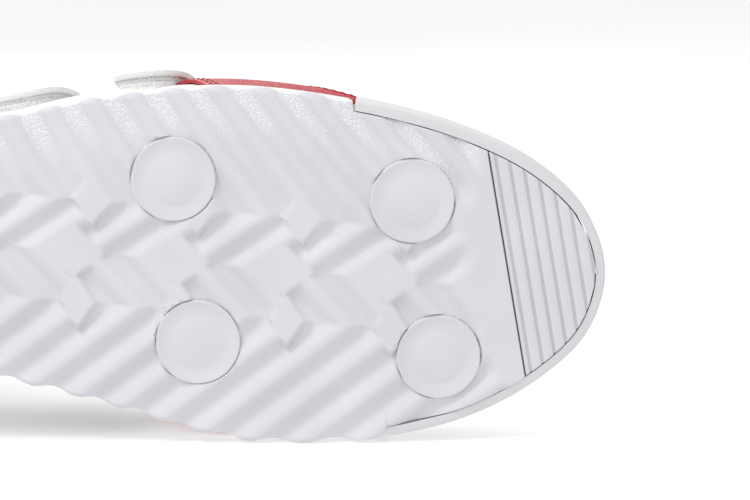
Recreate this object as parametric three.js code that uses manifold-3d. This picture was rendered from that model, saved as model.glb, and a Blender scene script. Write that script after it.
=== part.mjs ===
// A low-cut bowling shoe for the right foot. The heel is at low X and the toe at high X, the outer
// (lateral) side is -Y, the inner (medial) side is +Y, and the tread stands on Z = 0. Millimetres.
import * as THREE from 'three';
import { mergeVertices } from 'three/addons/utils/BufferGeometryUtils.js';
import Module from 'manifold-3d';

const wasm = await Module();
wasm.setup();

// ---- Overall sizes ----
const soleLength = 295;
const ballWidth = 105;
const toeSpring = 9;
const heelBed = 23;
const foreBed = 15;
const gap = 0.3;

// The places below are given for these sizes, and move in step when the overall sizes change.
const gradeLength = 295;
const gradeWidth = 105;
const alongSole = (x) => (x * soleLength) / gradeLength;
const acrossSole = (y) => (y * ballWidth) / gradeWidth;
const springStart = alongSole(200);
const heelBedEnd = alongSole(70);
const foreBedStart = alongSole(190);

// ---- Sole ----
const ridgeDepth = 3;
const outsoleBase = 3;
const ridgePitch = 15.2;
const ridgePhase = 149.5;
const ridgeHalfWidth = 4.2;
const ridgeStep = 20;
const podRadius = 12.3;
const podHeight = 4.2;
const podDome = 0.8;
const plateThickness = 2.3;
const plateDrop = 0.4;
const plateRear = alongSole(266.5);
const plateSlant = 0.17;
const grooveCount = 7;
const groovePitch = 3.9;
const grooveWidth = 0.8;
const grooveDepth = 0.9;
const bumperThickness = 2.8;
const bumperStart = alongSole(222);
const bumperRise = 3;
const bumperDrop = 1;
const foxingEnd = 52;
const foxingRise = 4;
const midsoleInset = 0.8;
const shankLength = 100;
const shankStart = 66;
const shankHalfWidth = 8;
const shankThickness = 1.2;
const boardThickness = 1.5;
const insoleThickness = 4;
const insoleClearance = 2.2;

// ---- Upper ----
const upperThickness = 1.6;
const stiffenerThickness = 1.1;
const liningThickness = 1;
const collarPad = 3.6;
const padStartHeight = 58;
const padFullHeight = 70;
const overlayThickness = 1.2;
const strapThickness = 1.8;
const hookThickness = 1;
const strapHalfWidth = 12;
const frontStrapX = alongSole(170);
const rearStrapX = alongSole(134);
const strapLean = 0.32;
const tongueOuterThickness = 1.1;
const tongueFoamThickness = 3.5;
const tongueLiningThickness = 0.8;
const tongueHalfWidth = acrossSole(21);
const tongueTaper = 4;
const tongueClearance = 8;
const tongueTopX = alongSole(98);
const throatFront = alongSole(196);
const throatBack = alongSole(60);
const throatHalfWidth = 9;
const facingWidth = 11;
const heelTop = 84;
const ankleDip = 71;
const vampSeamLow = alongSole(156);
const vampSeamHigh = alongSole(192);
const counterFront = 72;
const counterHeight = 56;
const puffRear = alongSole(252);
const heelTabFront = 15;
const heelTabRise = 1;
const bumperSkew = 9;
const panelRear = alongSole(180);
const panelFoot = 0.8;
const panelTipRise = 2.5;
const panelTipReach = 10;
const throatCorner = alongSole(178);
const collarCorner = alongSole(116);
const loopMargin = 2;
const loopTip = 3;
const hookMargin = 3;
const hookTip = 4;
const anchorLength = 11;
const collarFoamEnd = 96;
const padFadeStart = 74;
const padFadeEnd = 98;

// ---- Colours ----
const white = 0xf4f4f2;
const red = 0xc2242f;
const rubber = 0xdddce1;
const foam = 0xe9e7e2;
const grey = 0x9c9ca0;

const stationCount = 30;
const archSteps = 6;
const spineHeel = alongSole(48);
const spineToe = alongSole(248);
const snap = 0.01;

// ---- Shape of the foot form ----
const smooth = (a, b, x) => THREE.MathUtils.smoothstep(x, a, b);
const lift = (x) => toeSpring * Math.max(0, (x - springStart) / (soleLength - springStart)) ** 2;
const liftSlope = (x) => (2 * toeSpring * Math.max(0, x - springStart)) / (soleLength - springStart) ** 2;
const bed = (x) => heelBed + (foreBed - heelBed) * smooth(heelBedEnd, foreBedStart, x);
const spineY = (x) => THREE.MathUtils.lerp(-6.3, 0.5, smooth(alongSole(130), alongSole(230), x));

// Half outline as [share of the length, lateral reach, medial reach], reaches as shares of the ball width.
const reaches = [
  [0.01, -0.175, 0.065], [0.048, -0.31, 0.195], [0.13, -0.377, 0.272], [0.255, -0.387, 0.272],
  [0.39, -0.433, 0.29], [0.508, -0.495, 0.368], [0.627, -0.522, 0.462], [0.746, -0.484, 0.47],
  [0.857, -0.4, 0.412], [0.935, -0.288, 0.302], [0.983, -0.152, 0.172],
];
const heelPoint = new THREE.Vector3(0, -0.053 * ballWidth, 0);
const toePoint = new THREE.Vector3(soleLength, 0.01 * ballWidth, 0);
const lateralSide = reaches.map(([x, y]) => new THREE.Vector3(x * soleLength, y * ballWidth, 0));
const medialSide = reaches.map(([x, , y]) => new THREE.Vector3(x * soleLength, y * ballWidth, 0)).reverse();
const outline = new THREE.CatmullRomCurve3([heelPoint, ...lateralSide, toePoint, ...medialSide], true, 'centripetal');

// The ridge line over the instep, heel to toe.
const ridgeCurve = new THREE.SplineCurve([
  [0, 126], [80, 126], [98, 121], [112, 112], [130, 101], [150, 90], [180, 75], [205, 64], [228, 56.5], [248, 53],
].map(([x, z]) => new THREE.Vector2(alongSole(x), z)));

function ridge(x) {
  let low = 0;
  let high = 1;
  for (let step = 0; step < 30; step += 1) {
    const middle = (low + high) / 2;
    if (ridgeCurve.getPoint(middle).x < x) low = middle;
    else high = middle;
  }
  return ridgeCurve.getPoint(low).y;
}

// A point of the outline moved inwards by an inset. side -1 is lateral, +1 is medial.
function edgePoint(station, side, inset) {
  const share = (0.5 * station) / stationCount;
  const t = side < 0 ? share : 1 - share;
  const point = outline.getPoint(t);
  let normal;
  if (station === 0) normal = new THREE.Vector3(-1, 0, 0);
  else if (station === stationCount) normal = new THREE.Vector3(1, 0, 0);
  else {
    const tangent = outline.getTangent(t);
    normal = new THREE.Vector3(tangent.y, -tangent.x, 0).normalize();
  }
  if (station === 0) point.copy(heelPoint);
  return point.addScaledVector(normal, -inset);
}

// ---- Mesh helpers ----
// Joins a row of closed sections of equal point count into one closed surface.
function loft(sections) {
  const count = sections[0].length;
  const positions = sections.flat().flatMap((p) => [p.x, p.y, p.z]);
  const index = [];
  for (let row = 0; row + 1 < sections.length; row += 1) {
    for (let k = 0; k < count; k += 1) {
      const a = row * count + k;
      const b = row * count + ((k + 1) % count);
      index.push(a, b, b + count, a, b + count, a + count);
    }
  }
  const last = (sections.length - 1) * count;
  for (let k = 1; k + 1 < count; k += 1) {
    index.push(0, k + 1, k, last, last + k, last + k + 1);
  }
  const geometry = new THREE.BufferGeometry();
  geometry.setAttribute('position', new THREE.Float32BufferAttribute(positions, 3));
  geometry.setIndex(index);
  return geometry;
}

// Turns a geometry into a solid, with zero-area faces left out and faces pointing outwards.
function solid(geometry) {
  const bare = geometry.clone();
  bare.deleteAttribute('normal');
  bare.deleteAttribute('uv');
  const merged = mergeVertices(bare, 1e-3);
  const source = merged.index.array;
  const places = merged.attributes.position;
  const faces = [];
  let volume = 0;
  const corner = (k) => new THREE.Vector3().fromBufferAttribute(places, k);
  for (let f = 0; f < source.length; f += 3) {
    const [a, b, c] = [source[f], source[f + 1], source[f + 2]];
    if (a === b || b === c || a === c) continue;
    faces.push([a, b, c]);
    volume += corner(a).dot(corner(b).cross(corner(c)));
  }
  const kept = dropMirrored(faces);
  const triVerts = new Uint32Array(kept.flatMap(([a, b, c]) => (volume < 0 ? [a, c, b] : [a, b, c])));
  const vertProperties = new Float32Array(places.array);
  return new wasm.Manifold(new wasm.Mesh({ numProp: 3, vertProperties, triVerts }));
}

// Leaves out pairs of faces that lie on each other back to back.
function dropMirrored(faces) {
  const seen = new Map();
  faces.forEach((face, place) => {
    const key = [...face].sort((a, b) => a - b).join();
    if (seen.has(key)) seen.get(key).push(place);
    else seen.set(key, [place]);
  });
  const dropped = new Set([...seen.values()].filter((places) => places.length === 2).flat());
  return faces.filter((face, place) => !dropped.has(place));
}

// A body's surface with its corners snapped to a fine grid, which closes the slivers a cut can leave.
function geometryOf(body) {
  const rough = body.getMesh();
  const geometry = new THREE.BufferGeometry();
  const snapped = Float32Array.from(rough.vertProperties, (value) => Math.round(value / snap) * snap);
  geometry.setAttribute('position', new THREE.BufferAttribute(snapped, 3));
  geometry.setIndex(new THREE.BufferAttribute(rough.triVerts, 1));
  const mesh = solid(geometry).getMesh();
  const clean = new THREE.BufferGeometry();
  clean.setAttribute('position', new THREE.BufferAttribute(mesh.vertProperties, 3));
  clean.setIndex(new THREE.BufferAttribute(mesh.triVerts, 1));
  return clean;
}

// A sole layer: the outline moved in by an inset, between two height functions of X.
function slab(inset, bottom, top) {
  const sections = [];
  for (let station = 0; station <= stationCount; station += 1) {
    const lateral = edgePoint(station, -1, inset);
    const medial = edgePoint(station, 1, inset);
    const corners = [[lateral, bottom], [medial, bottom], [medial, top], [lateral, top]];
    sections.push(corners.map(([p, height]) => new THREE.Vector3(p.x, p.y, height(p.x) + lift(p.x))));
  }
  return solid(loft(sections));
}

// A flat bar with square edges that follows a path of [x, y] places and the rise of the toe.
function ribbon(path, halfWidth, low, high) {
  const sections = path.map(([x, y], k) => {
    const [nextX, nextY] = path[Math.min(k + 1, path.length - 1)];
    const [lastX, lastY] = path[Math.max(k - 1, 0)];
    const before = new THREE.Vector2(x - lastX, y - lastY).normalize();
    const after = new THREE.Vector2(nextX - x, nextY - y).normalize();
    const along = before.clone().add(after).normalize();
    const across = new THREE.Vector2(-along.y, along.x);
    const width = halfWidth / Math.max(0.6, across.dot(new THREE.Vector2(-after.y || -before.y, after.x || before.x)));
    const corners = [[-width, low], [width, low], [width, high], [-width, high]];
    return corners.map(([side, height]) => {
      const px = x + across.x * side;
      return new THREE.Vector3(px, y + across.y * side, height + lift(px));
    });
  });
  return solid(loft(sections));
}

// A straight strip along X, between two height functions.
function strip(from, to, halfWidth, bottom, top) {
  const steps = Math.ceil((to - from) / 8);
  const sections = [];
  for (let k = 0; k <= steps; k += 1) {
    const x = from + ((to - from) * k) / steps;
    const y = spineY(x);
    const corners = [[-halfWidth, bottom], [halfWidth, bottom], [halfWidth, top], [-halfWidth, top]];
    sections.push(corners.map(([side, height]) => new THREE.Vector3(x, y + side, height(x) + lift(x))));
  }
  return solid(loft(sections));
}

// ---- The upper's layers ----
const sheetInset = bumperThickness + gap;

function formPoint(station, side, angle, inset, drop) {
  const edge = edgePoint(station, side, sheetInset + inset);
  const other = edgePoint(station, -side, sheetInset + inset);
  const spineX = THREE.MathUtils.clamp((edge.x + other.x) / 2, spineHeel, spineToe);
  const crest = new THREE.Vector3(spineX, spineY(spineX), ridge(spineX) + lift(spineX) - inset);
  const base = bed(edge.x) + gap + lift(edge.x);
  const across = Math.cos(angle) ** (2 / 2.35);
  const up = Math.sin(angle) ** (2 / 2.05);
  return new THREE.Vector3(
    THREE.MathUtils.lerp(crest.x, edge.x, across),
    THREE.MathUtils.lerp(crest.y, edge.y, across),
    THREE.MathUtils.lerp(base, crest.z, up) - drop,
  );
}

// The solid under a layer's surface. insetAt gives how far the surface lies inside the outer face.
function form(insetAt, drop) {
  const sections = [];
  const places = [];
  for (let k = 0; k <= archSteps; k += 1) places.push([-1, (0.5 * Math.PI * k) / archSteps]);
  for (let k = archSteps - 1; k >= 0; k -= 1) places.push([1, (0.5 * Math.PI * k) / archSteps]);
  for (let station = 0; station <= stationCount; station += 1) {
    const section = places.map(([side, angle]) => {
      const outer = formPoint(station, side, angle, 0, 0);
      return formPoint(station, side, angle, insetAt(outer.x, outer.z), 0);
    });
    const lateralFoot = section[0].clone();
    const medialFoot = section[section.length - 1].clone();
    lateralFoot.z -= drop;
    medialFoot.z -= drop;
    sections.push([lateralFoot, ...section, medialFoot]);
  }
  return solid(loft(sections));
}

const even = (inset) => () => inset;

function layer(outerInset, innerInset) {
  return form(outerInset, 0).subtract(form(innerInset, 12));
}

// ---- Cutters ----
const reachOut = 90;
const above = 160;

// A plan shape raised through the whole shoe.
function planCutter(shape) {
  const geometry = new THREE.ExtrudeGeometry(shape, { depth: above + 20, bevelEnabled: false, curveSegments: 10 });
  return solid(geometry.translate(0, 0, -20));
}

// A side-view shape, X and Z, carried across the whole shoe or one side of its spine.
function sideCutter(shape, side = 0) {
  const depth = side === 0 ? 2 * reachOut : reachOut;
  const geometry = new THREE.ExtrudeGeometry(shape, { depth, bevelEnabled: false, curveSegments: 10 });
  return solid(geometry.rotateX(Math.PI / 2).translate(0, side < 0 ? 0 : reachOut, 0));
}

function shapeOf(points) {
  return new THREE.Shape(points.map(([x, y]) => new THREE.Vector2(x, y)));
}

// A band along the spine in plan, with a round front end.
function throatShape(back, front, halfWidth) {
  const shape = new THREE.Shape();
  const centre = front - halfWidth;
  shape.moveTo(back, spineY(back) - halfWidth);
  for (const x of [130, 145, 160, 175]) shape.lineTo(x, spineY(x) - halfWidth);
  shape.lineTo(centre, spineY(centre) - halfWidth);
  shape.absarc(centre, spineY(centre), halfWidth, -Math.PI / 2, Math.PI / 2, false);
  for (const x of [175, 160, 145, 130]) shape.lineTo(x, spineY(x) + halfWidth);
  shape.lineTo(back, spineY(back) + halfWidth);
  return shape;
}

// Everything below the collar edge, seen from the side. drop lowers the edge.
function belowCollar(drop) {
  const shape = new THREE.Shape();
  shape.moveTo(-20, -10);
  shape.lineTo(-20, heelTop - drop);
  shape.lineTo(0, heelTop - drop);
  shape.bezierCurveTo(22, heelTop - drop, 32, ankleDip - drop, 58, ankleDip - drop);
  shape.bezierCurveTo(92, ankleDip - drop, 104, 92 - drop, 112 + drop, 130);
  shape.lineTo(soleLength + 20, 130);
  shape.lineTo(soleLength + 20, -10);
  return shape;
}

const collarKeep = sideCutter(belowCollar(0));
const throatCut = planCutter(throatShape(throatBack, throatFront, throatHalfWidth));

// The part in front of the vamp seam, moved forward by a shift.
function vampShape(shift) {
  return shapeOf([
    [vampSeamLow + shift, -10], [vampSeamLow + shift, foreBed + 8], [vampSeamLow + 7 + shift, foreBed + 22],
    [vampSeamHigh - 10 + shift, foreBed + 40], [vampSeamHigh + shift, 130], [soleLength + 20, 130],
    [soleLength + 20, -10],
  ]);
}

function behindVamp(shift) {
  return shapeOf([
    [-20, -10], [-20, 150], [vampSeamHigh - shift, 150], [vampSeamHigh - shift, 130],
    [vampSeamHigh - 10 - shift, foreBed + 40], [vampSeamLow + 7 - shift, foreBed + 22],
    [vampSeamLow - shift, foreBed + 8], [vampSeamLow - shift, -10],
  ]);
}

// ---- Sole pieces ----
const outsoleTop = ridgeDepth + outsoleBase;
const plateLine = (y) => plateRear + plateSlant * y;

// The plan area in front of the toe plate's rear edge, moved back by a shift.
function plateArea(shift) {
  return shapeOf([
    [plateLine(-reachOut) - shift, -reachOut], [soleLength + 20, -reachOut], [soleLength + 20, reachOut],
    [plateLine(reachOut) - shift, reachOut],
  ]);
}

// The plan area that the toe bumper wraps, moved back by a shift.
function bumperArea(shift) {
  return shapeOf([
    [bumperStart - shift, -reachOut], [soleLength + 20, -reachOut], [soleLength + 20, reachOut],
    [bumperStart + bumperSkew - shift, reachOut],
  ]);
}

// A wall along the outline's edge, between an outer and an inner inset.
function rim(outer, inner, bottom, top) {
  const clear = slab(inner, () => -30, () => above);
  return slab(outer, bottom, top).subtract(clear);
}

const bumperTop = (x) => bed(x) + bumperRise;
const bumperClear = rim(-5, bumperThickness + gap, () => -20, () => bumperTop(soleLength) + gap)
  .intersect(planCutter(bumperArea(gap)));

// One ridge: a long leg from the lateral edge, two short centre legs, a long leg to the medial edge.
// Its turns lie on three lines that drift towards the medial side as X grows.
function ridgePath(start) {
  const drift = 0.09;
  const driftCentre = 205;
  const legs = [[-34, -60], [0, -16.2], [-20.7, -0.9], [-6.6, 13.9], [-54.6, 54]];
  const path = [];
  for (let k = 0; k + 1 < legs.length; k += 1) {
    const [x0, y0] = legs[k];
    const [x1, y1] = legs[k + 1];
    const steps = Math.max(1, Math.round(Math.hypot(x1 - x0, y1 - y0) / ridgeStep));
    for (let s = 0; s < steps; s += 1) {
      path.push([x0 + ((x1 - x0) * s) / steps, y0 + ((y1 - y0) * s) / steps]);
    }
  }
  path.push(legs[legs.length - 1]);
  return path.map(([x, y]) => [start + x, y + drift * (start + x - driftCentre)]);
}

function treadRidges() {
  const inside = slab(0.4, () => -2, () => ridgeDepth + 0.4);
  let ridges = null;
  const first = ridgePhase - ridgePitch * Math.ceil(ridgePhase / ridgePitch);
  for (let start = first; start < soleLength + 60; start += ridgePitch) {
    const bar = ribbon(ridgePath(start), ridgeHalfWidth, 0, ridgeDepth + 0.5);
    ridges = ridges ? ridges.add(bar) : bar;
  }
  return ridges.intersect(inside).subtract(planCutter(plateArea(gap)));
}

const podPlaces = {
  pod_lateral_front: [238.5, -21.2],
  pod_medial_front: [246.3, 24.7],
  pod_lateral_rear: [169, -27.8],
  pod_medial_rear: [175.8, 20],
  heel_pod_lateral: [48, -24],
  heel_pod_medial: [42, 13],
};

// A round rubber pod with a rim step and a low central dome, dome down.
function podGeometry(radius, bottom, height) {
  const dome = radius * 0.62;
  const profile = [[0, bottom]];
  if (bottom === 0) {
    profile.push([dome * 0.5, podDome * 0.22], [dome * 0.85, podDome * 0.68], [dome, podDome]);
    profile.push([radius - 0.8, podDome], [radius, podDome + 0.6]);
  } else profile.push([radius, bottom]);
  profile.push([radius, height], [0, height]);
  const geometry = new THREE.LatheGeometry(profile.map(([x, y]) => new THREE.Vector2(x, y)), 24);
  return geometry.rotateX(Math.PI / 2);
}

function placePod(object, [x, y]) {
  const along = alongSole(x);
  object.position.set(along, acrossSole(y), lift(along));
  object.rotation.y = -Math.atan(liftSlope(along));
  object.updateMatrix();
}

function podPocket(place) {
  const holder = new THREE.Object3D();
  placePod(holder, place);
  const pocket = podGeometry(podRadius + gap, -4, podHeight + gap);
  return solid(pocket.applyMatrix4(holder.matrix));
}

function outsoleBody() {
  let body = slab(0, () => ridgeDepth, () => outsoleTop).add(treadRidges());
  for (const place of Object.values(podPlaces)) body = body.subtract(podPocket(place));
  return body.subtract(bumperClear);
}

function toePlate() {
  const top = plateDrop + plateThickness;
  let plate = slab(bumperThickness + gap, () => plateDrop, () => top).intersect(planCutter(plateArea(0)));
  for (let k = 0; k < grooveCount; k += 1) {
    const offset = 1.6 + k * groovePitch;
    const path = [-60, -40, -20, 0, 20, 40, 60].map((y) => [plateLine(y) + offset, y]);
    plate = plate.subtract(ribbon(path, grooveWidth / 2, -2, plateDrop + grooveDepth));
  }
  return plate;
}

function toeBumper() {
  return rim(0, bumperThickness, () => bumperDrop, bumperTop).intersect(planCutter(bumperArea(0)));
}

const foxingArea = (shift) => shapeOf([
  [-20, -reachOut], [foxingEnd + shift, -reachOut], [foxingEnd + shift, reachOut], [-20, reachOut],
]);

function heelFoxing() {
  const top = (x) => bed(x) + foxingRise;
  return rim(0, bumperThickness, () => outsoleTop + gap, top).intersect(planCutter(foxingArea(0)));
}

function midsoleBody() {
  const pocketStart = shankStart - gap;
  const pocketEnd = shankStart + shankLength + gap;
  const pocketFloor = (x) => bed(x) - shankThickness - gap;
  const pocket = strip(pocketStart, pocketEnd, shankHalfWidth + gap, pocketFloor, (x) => bed(x) + 5);
  const heelClear = rim(-5, bumperThickness + gap, () => 0, () => above).intersect(planCutter(foxingArea(gap)));
  const body = slab(midsoleInset, () => outsoleTop + gap, bed);
  return body.subtract(pocket).subtract(bumperClear).subtract(heelClear);
}

function shankBody() {
  return strip(shankStart, shankStart + shankLength, shankHalfWidth, (x) => bed(x) - shankThickness, bed);
}

const stiffenerInset = upperThickness + gap;
const liningInset = stiffenerInset + stiffenerThickness + gap;
const footInset = sheetInset + liningInset + liningThickness;
const boardTop = (x) => bed(x) + gap + boardThickness;

function lastingBoard() {
  return slab(footInset + gap, (x) => bed(x) + gap, boardTop);
}

function insoleBody() {
  return slab(footInset + insoleClearance, (x) => boardTop(x) + gap, (x) => boardTop(x) + gap + insoleThickness);
}

// ---- Upper pieces ----
const upperSheet = layer(even(0), even(upperThickness)).intersect(collarKeep).subtract(throatCut);
const backSeam = planCutter(shapeOf([
  [-20, spineY(0) - gap / 2], [spineHeel + 60, spineY(0) - gap / 2], [spineHeel + 60, spineY(0) + gap / 2],
  [-20, spineY(0) + gap / 2],
]));

// The half of the shoe on one side of the spine, behind the vamp.
function quarter(side) {
  const shape = shapeOf([
    [-20, spineY(0)], [130, spineY(130)], [165, spineY(165)], [soleLength, spineY(soleLength)],
    [soleLength, side * reachOut], [-20, side * reachOut],
  ]);
  return upperSheet.intersect(sideCutter(behindVamp(gap))).intersect(planCutter(shape)).subtract(backSeam);
}

function vampBody() {
  return upperSheet.intersect(sideCutter(vampShape(0)));
}

// Thickness of the collar's foam at a place on the side wall.
function padAt(x, z) {
  const rise = smooth(padStartHeight, padFullHeight, z);
  const fade = 1 - smooth(padFadeStart, padFadeEnd, x);
  return stiffenerThickness + (collarPad - stiffenerThickness) * rise * fade;
}

const behindThroat = vampSeamHigh - 30;

function liningSheet() {
  const outer = (x, z) => stiffenerInset + padAt(x, z) + gap;
  const inner = (x, z) => stiffenerInset + padAt(x, z) + gap + liningThickness;
  return layer(outer, inner).intersect(collarKeep).subtract(throatCut);
}

function box(x0, x1, z0, z1) {
  return shapeOf([[x0, z0], [x1, z0], [x1, z1], [x0, z1]]);
}

const lining = liningSheet();

function collarPadding() {
  const inner = (x, z) => stiffenerInset + padAt(x, z);
  const sheet = layer(even(stiffenerInset), inner).intersect(sideCutter(belowCollar(1)));
  return sheet.intersect(sideCutter(box(-20, collarFoamEnd, counterHeight + gap, above)));
}

function heelCounter() {
  const shape = new THREE.Shape();
  shape.moveTo(-20, -10);
  shape.lineTo(-20, counterHeight);
  shape.lineTo(30, counterHeight);
  shape.quadraticCurveTo(counterFront - 8, counterHeight, counterFront, bed(0) + 8);
  shape.lineTo(counterFront, -10);
  return layer(even(stiffenerInset), even(stiffenerInset + stiffenerThickness)).intersect(sideCutter(shape));
}

function toePuff() {
  const sheet = layer(even(stiffenerInset), even(stiffenerInset + stiffenerThickness));
  return sheet.intersect(sideCutter(box(puffRear, soleLength + 20, -10, above)));
}

// ---- Overlays, straps and tongue ----
const overlaySheet = layer(even(-gap - overlayThickness), even(-gap));
const facingOuter = throatHalfWidth + facingWidth;

function facingArea(grow) {
  return planCutter(throatShape(throatBack, throatFront + facingWidth + grow, facingOuter + grow));
}

function throatFacing() {
  return overlaySheet.intersect(collarKeep).intersect(facingArea(0)).subtract(throatCut);
}

// Side-view outline of a strap: crossX is where it crosses the ridge, foot is its lowest height.
function strapShape(crossX, foot, roundEnd, grow = 0, head = above) {
  const half = strapHalfWidth + grow;
  const crossZ = ridge(crossX);
  const along = new THREE.Vector2(-strapLean, -1).normalize();
  const across = new THREE.Vector2(1, -strapLean).normalize();
  const at = (height, side) => {
    const run = (crossZ - height) / -along.y;
    return new THREE.Vector2(crossX, crossZ).addScaledVector(along, run).addScaledVector(across, side);
  };
  const shape = new THREE.Shape();
  const top = at(head, 0);
  const bottom = at(foot - grow, 0);
  const corner = (place, side) => place.clone().addScaledVector(across, side);
  const start = corner(top, -half);
  shape.moveTo(start.x, start.y);
  if (roundEnd) {
    const centre = bottom.clone().addScaledVector(along, -half);
    const turn = Math.atan2(across.y, across.x);
    shape.absarc(centre.x, centre.y, half, turn + Math.PI, turn + 2 * Math.PI, false);
  } else {
    const left = corner(bottom, -half);
    const right = corner(bottom, half);
    shape.lineTo(left.x, left.y);
    shape.lineTo(right.x, right.y);
  }
  const end = corner(top, half);
  shape.lineTo(end.x, end.y);
  return shape;
}

const straps = {
  front: { crossX: frontStrapX, root: 50, end: 38, patchTop: 62 },
  rear: { crossX: rearStrapX, root: 60, end: 44, patchTop: 70 },
};
const hookInset = -(gap + overlayThickness + gap);
const strapInset = hookInset - hookThickness - gap;
function loopArea({ crossX, end, patchTop }, grow) {
  return sideCutter(strapShape(crossX, end + loopTip, true, grow - loopMargin, patchTop + grow), -1);
}

function loopPatch(strap) {
  return overlaySheet.intersect(loopArea(strap, 0));
}

function hookPatch({ crossX, end, patchTop }) {
  const area = sideCutter(strapShape(crossX, end + hookTip, true, -hookMargin, patchTop - 1), -1);
  return layer(even(hookInset - hookThickness), even(hookInset)).intersect(area);
}

function anchorArea({ crossX, root }, grow) {
  return sideCutter(strapShape(crossX, root, false, grow, root + anchorLength + grow), 1);
}

function strapAnchor(strap) {
  return layer(even(hookInset - hookThickness), even(-gap)).intersect(anchorArea(strap, 0));
}

function strapBody({ crossX, root, end }) {
  const sheet = layer(even(strapInset - strapThickness), even(strapInset));
  const lateral = sheet.intersect(sideCutter(strapShape(crossX, end, true), -1));
  const medial = sheet.intersect(sideCutter(strapShape(crossX, root, false), 1));
  return lateral.add(medial);
}

// The red saddle on one side: it leaves the sole in a forward point and sweeps up and back to the throat.
function sidePanel(side) {
  const shape = new THREE.Shape();
  const low = foreBed + panelFoot;
  const tip = foreBed + bumperRise + gap + panelTipRise;
  shape.moveTo(panelRear, low);
  shape.lineTo(bumperStart - 2, low);
  shape.lineTo(bumperStart + panelTipReach, tip);
  shape.bezierCurveTo(alongSole(205), tip + 6, alongSole(190), low + 26, throatCorner, 90);
  shape.lineTo(collarCorner, 118);
  shape.bezierCurveTo(alongSole(132), 88, alongSole(168), 50, panelRear, low);
  let panel = overlaySheet.intersect(collarKeep).intersect(sideCutter(shape, side));
  panel = panel.subtract(facingArea(gap)).subtract(bumperClear);
  for (const strap of Object.values(straps)) {
    panel = panel.subtract(side < 0 ? loopArea(strap, gap) : anchorArea(strap, gap));
  }
  return panel;
}

function heelTab() {
  const foot = bed(0) + foxingRise + heelTabRise;
  return overlaySheet.intersect(collarKeep).intersect(sideCutter(box(-20, heelTabFront, foot, above)));
}

const tongueInset = liningInset + liningThickness + gap;

function tongueArea() {
  const shape = new THREE.Shape();
  const corner = 14;
  const front = throatFront + 7;
  shape.moveTo(tongueTopX, spineY(0) - tongueHalfWidth + corner);
  shape.quadraticCurveTo(tongueTopX, spineY(0) - tongueHalfWidth, tongueTopX + corner, spineY(0) - tongueHalfWidth);
  shape.lineTo(front, spineY(front) - tongueHalfWidth + tongueTaper);
  shape.lineTo(front, spineY(front) + tongueHalfWidth - tongueTaper);
  shape.lineTo(tongueTopX + corner, spineY(0) + tongueHalfWidth);
  shape.quadraticCurveTo(tongueTopX, spineY(0) + tongueHalfWidth, tongueTopX, spineY(0) + tongueHalfWidth - corner);
  return planCutter(shape);
}

function tongueLayer(inset, thickness) {
  const aboveFoot = sideCutter(box(-20, soleLength, heelBed + insoleThickness + tongueClearance, above));
  return layer(even(inset), even(inset + thickness)).intersect(tongueArea()).intersect(aboveFoot);
}

// ---- Assembly ----
const shoe = new THREE.Group();

function addGeometry(name, geometry, color, roughness, metalness = 0) {
  const material = new THREE.MeshStandardMaterial({ color, roughness, metalness });
  const mesh = new THREE.Mesh(geometry, material);
  mesh.name = name;
  shoe.add(mesh);
  return mesh;
}

function add(name, body, color, roughness, metalness = 0) {
  return addGeometry(name, geometryOf(body), color, roughness, metalness);
}

add('outsole', outsoleBody(), rubber, 0.62);
for (const [name, place] of Object.entries(podPlaces)) {
  placePod(addGeometry(name, podGeometry(podRadius, 0, podHeight), rubber, 0.5), place);
}
add('toe_plate', toePlate(), rubber, 0.6);
add('toe_bumper', toeBumper(), rubber, 0.6);
add('heel_foxing', heelFoxing(), rubber, 0.6);
add('midsole', midsoleBody(), white, 0.7);
add('shank', shankBody(), 0x8d9196, 0.35, 1);
add('lasting_board', lastingBoard(), 0xcbb894, 0.9);
add('insole', insoleBody(), grey, 0.9);
add('vamp', vampBody(), white, 0.55);
add('quarter_lateral', quarter(-1), white, 0.55);
add('quarter_medial', quarter(1), grey, 0.6);
add('vamp_lining', lining.intersect(sideCutter(box(behindThroat + gap, soleLength + 20, -10, above))), foam, 0.9);
add('collar_lining', lining.intersect(sideCutter(box(-20, behindThroat, -10, above))), foam, 0.9);
add('collar_padding', collarPadding(), foam, 0.95);
add('heel_counter', heelCounter(), 0xb9b2a2, 0.8);
add('toe_puff', toePuff(), 0xb9b2a2, 0.8);
add('throat_facing', throatFacing(), white, 0.5);
add('side_panel_lateral', sidePanel(-1), red, 0.5);
add('side_panel_medial', sidePanel(1), red, 0.5);
add('heel_tab', heelTab(), red, 0.5);
for (const [place, strap] of Object.entries(straps)) {
  add(`strap_${place}`, strapBody(strap), white, 0.5);
  add(`hook_patch_${place}`, hookPatch(strap), grey, 0.95);
  add(`loop_patch_${place}`, loopPatch(strap), grey, 0.95);
  add(`strap_anchor_${place}`, strapAnchor(strap), white, 0.5);
}
add('tongue_outer', tongueLayer(tongueInset, tongueOuterThickness), white, 0.6);
const foamInset = tongueInset + tongueOuterThickness + gap;
add('tongue_foam', tongueLayer(foamInset, tongueFoamThickness), foam, 0.95);
add('tongue_lining', tongueLayer(foamInset + tongueFoamThickness + gap, tongueLiningThickness), foam, 0.9);

// The origin lies under the middle of the shoe.
const extent = new THREE.Box3().setFromObject(shoe);
const middle = extent.getCenter(new THREE.Vector3());
shoe.position.set(-middle.x, -middle.y, -extent.min.z);

export default shoe;
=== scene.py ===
"""A low-cut shoe with a lugged herringbone sole, pods under the ball and a grooved toe plate."""

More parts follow.
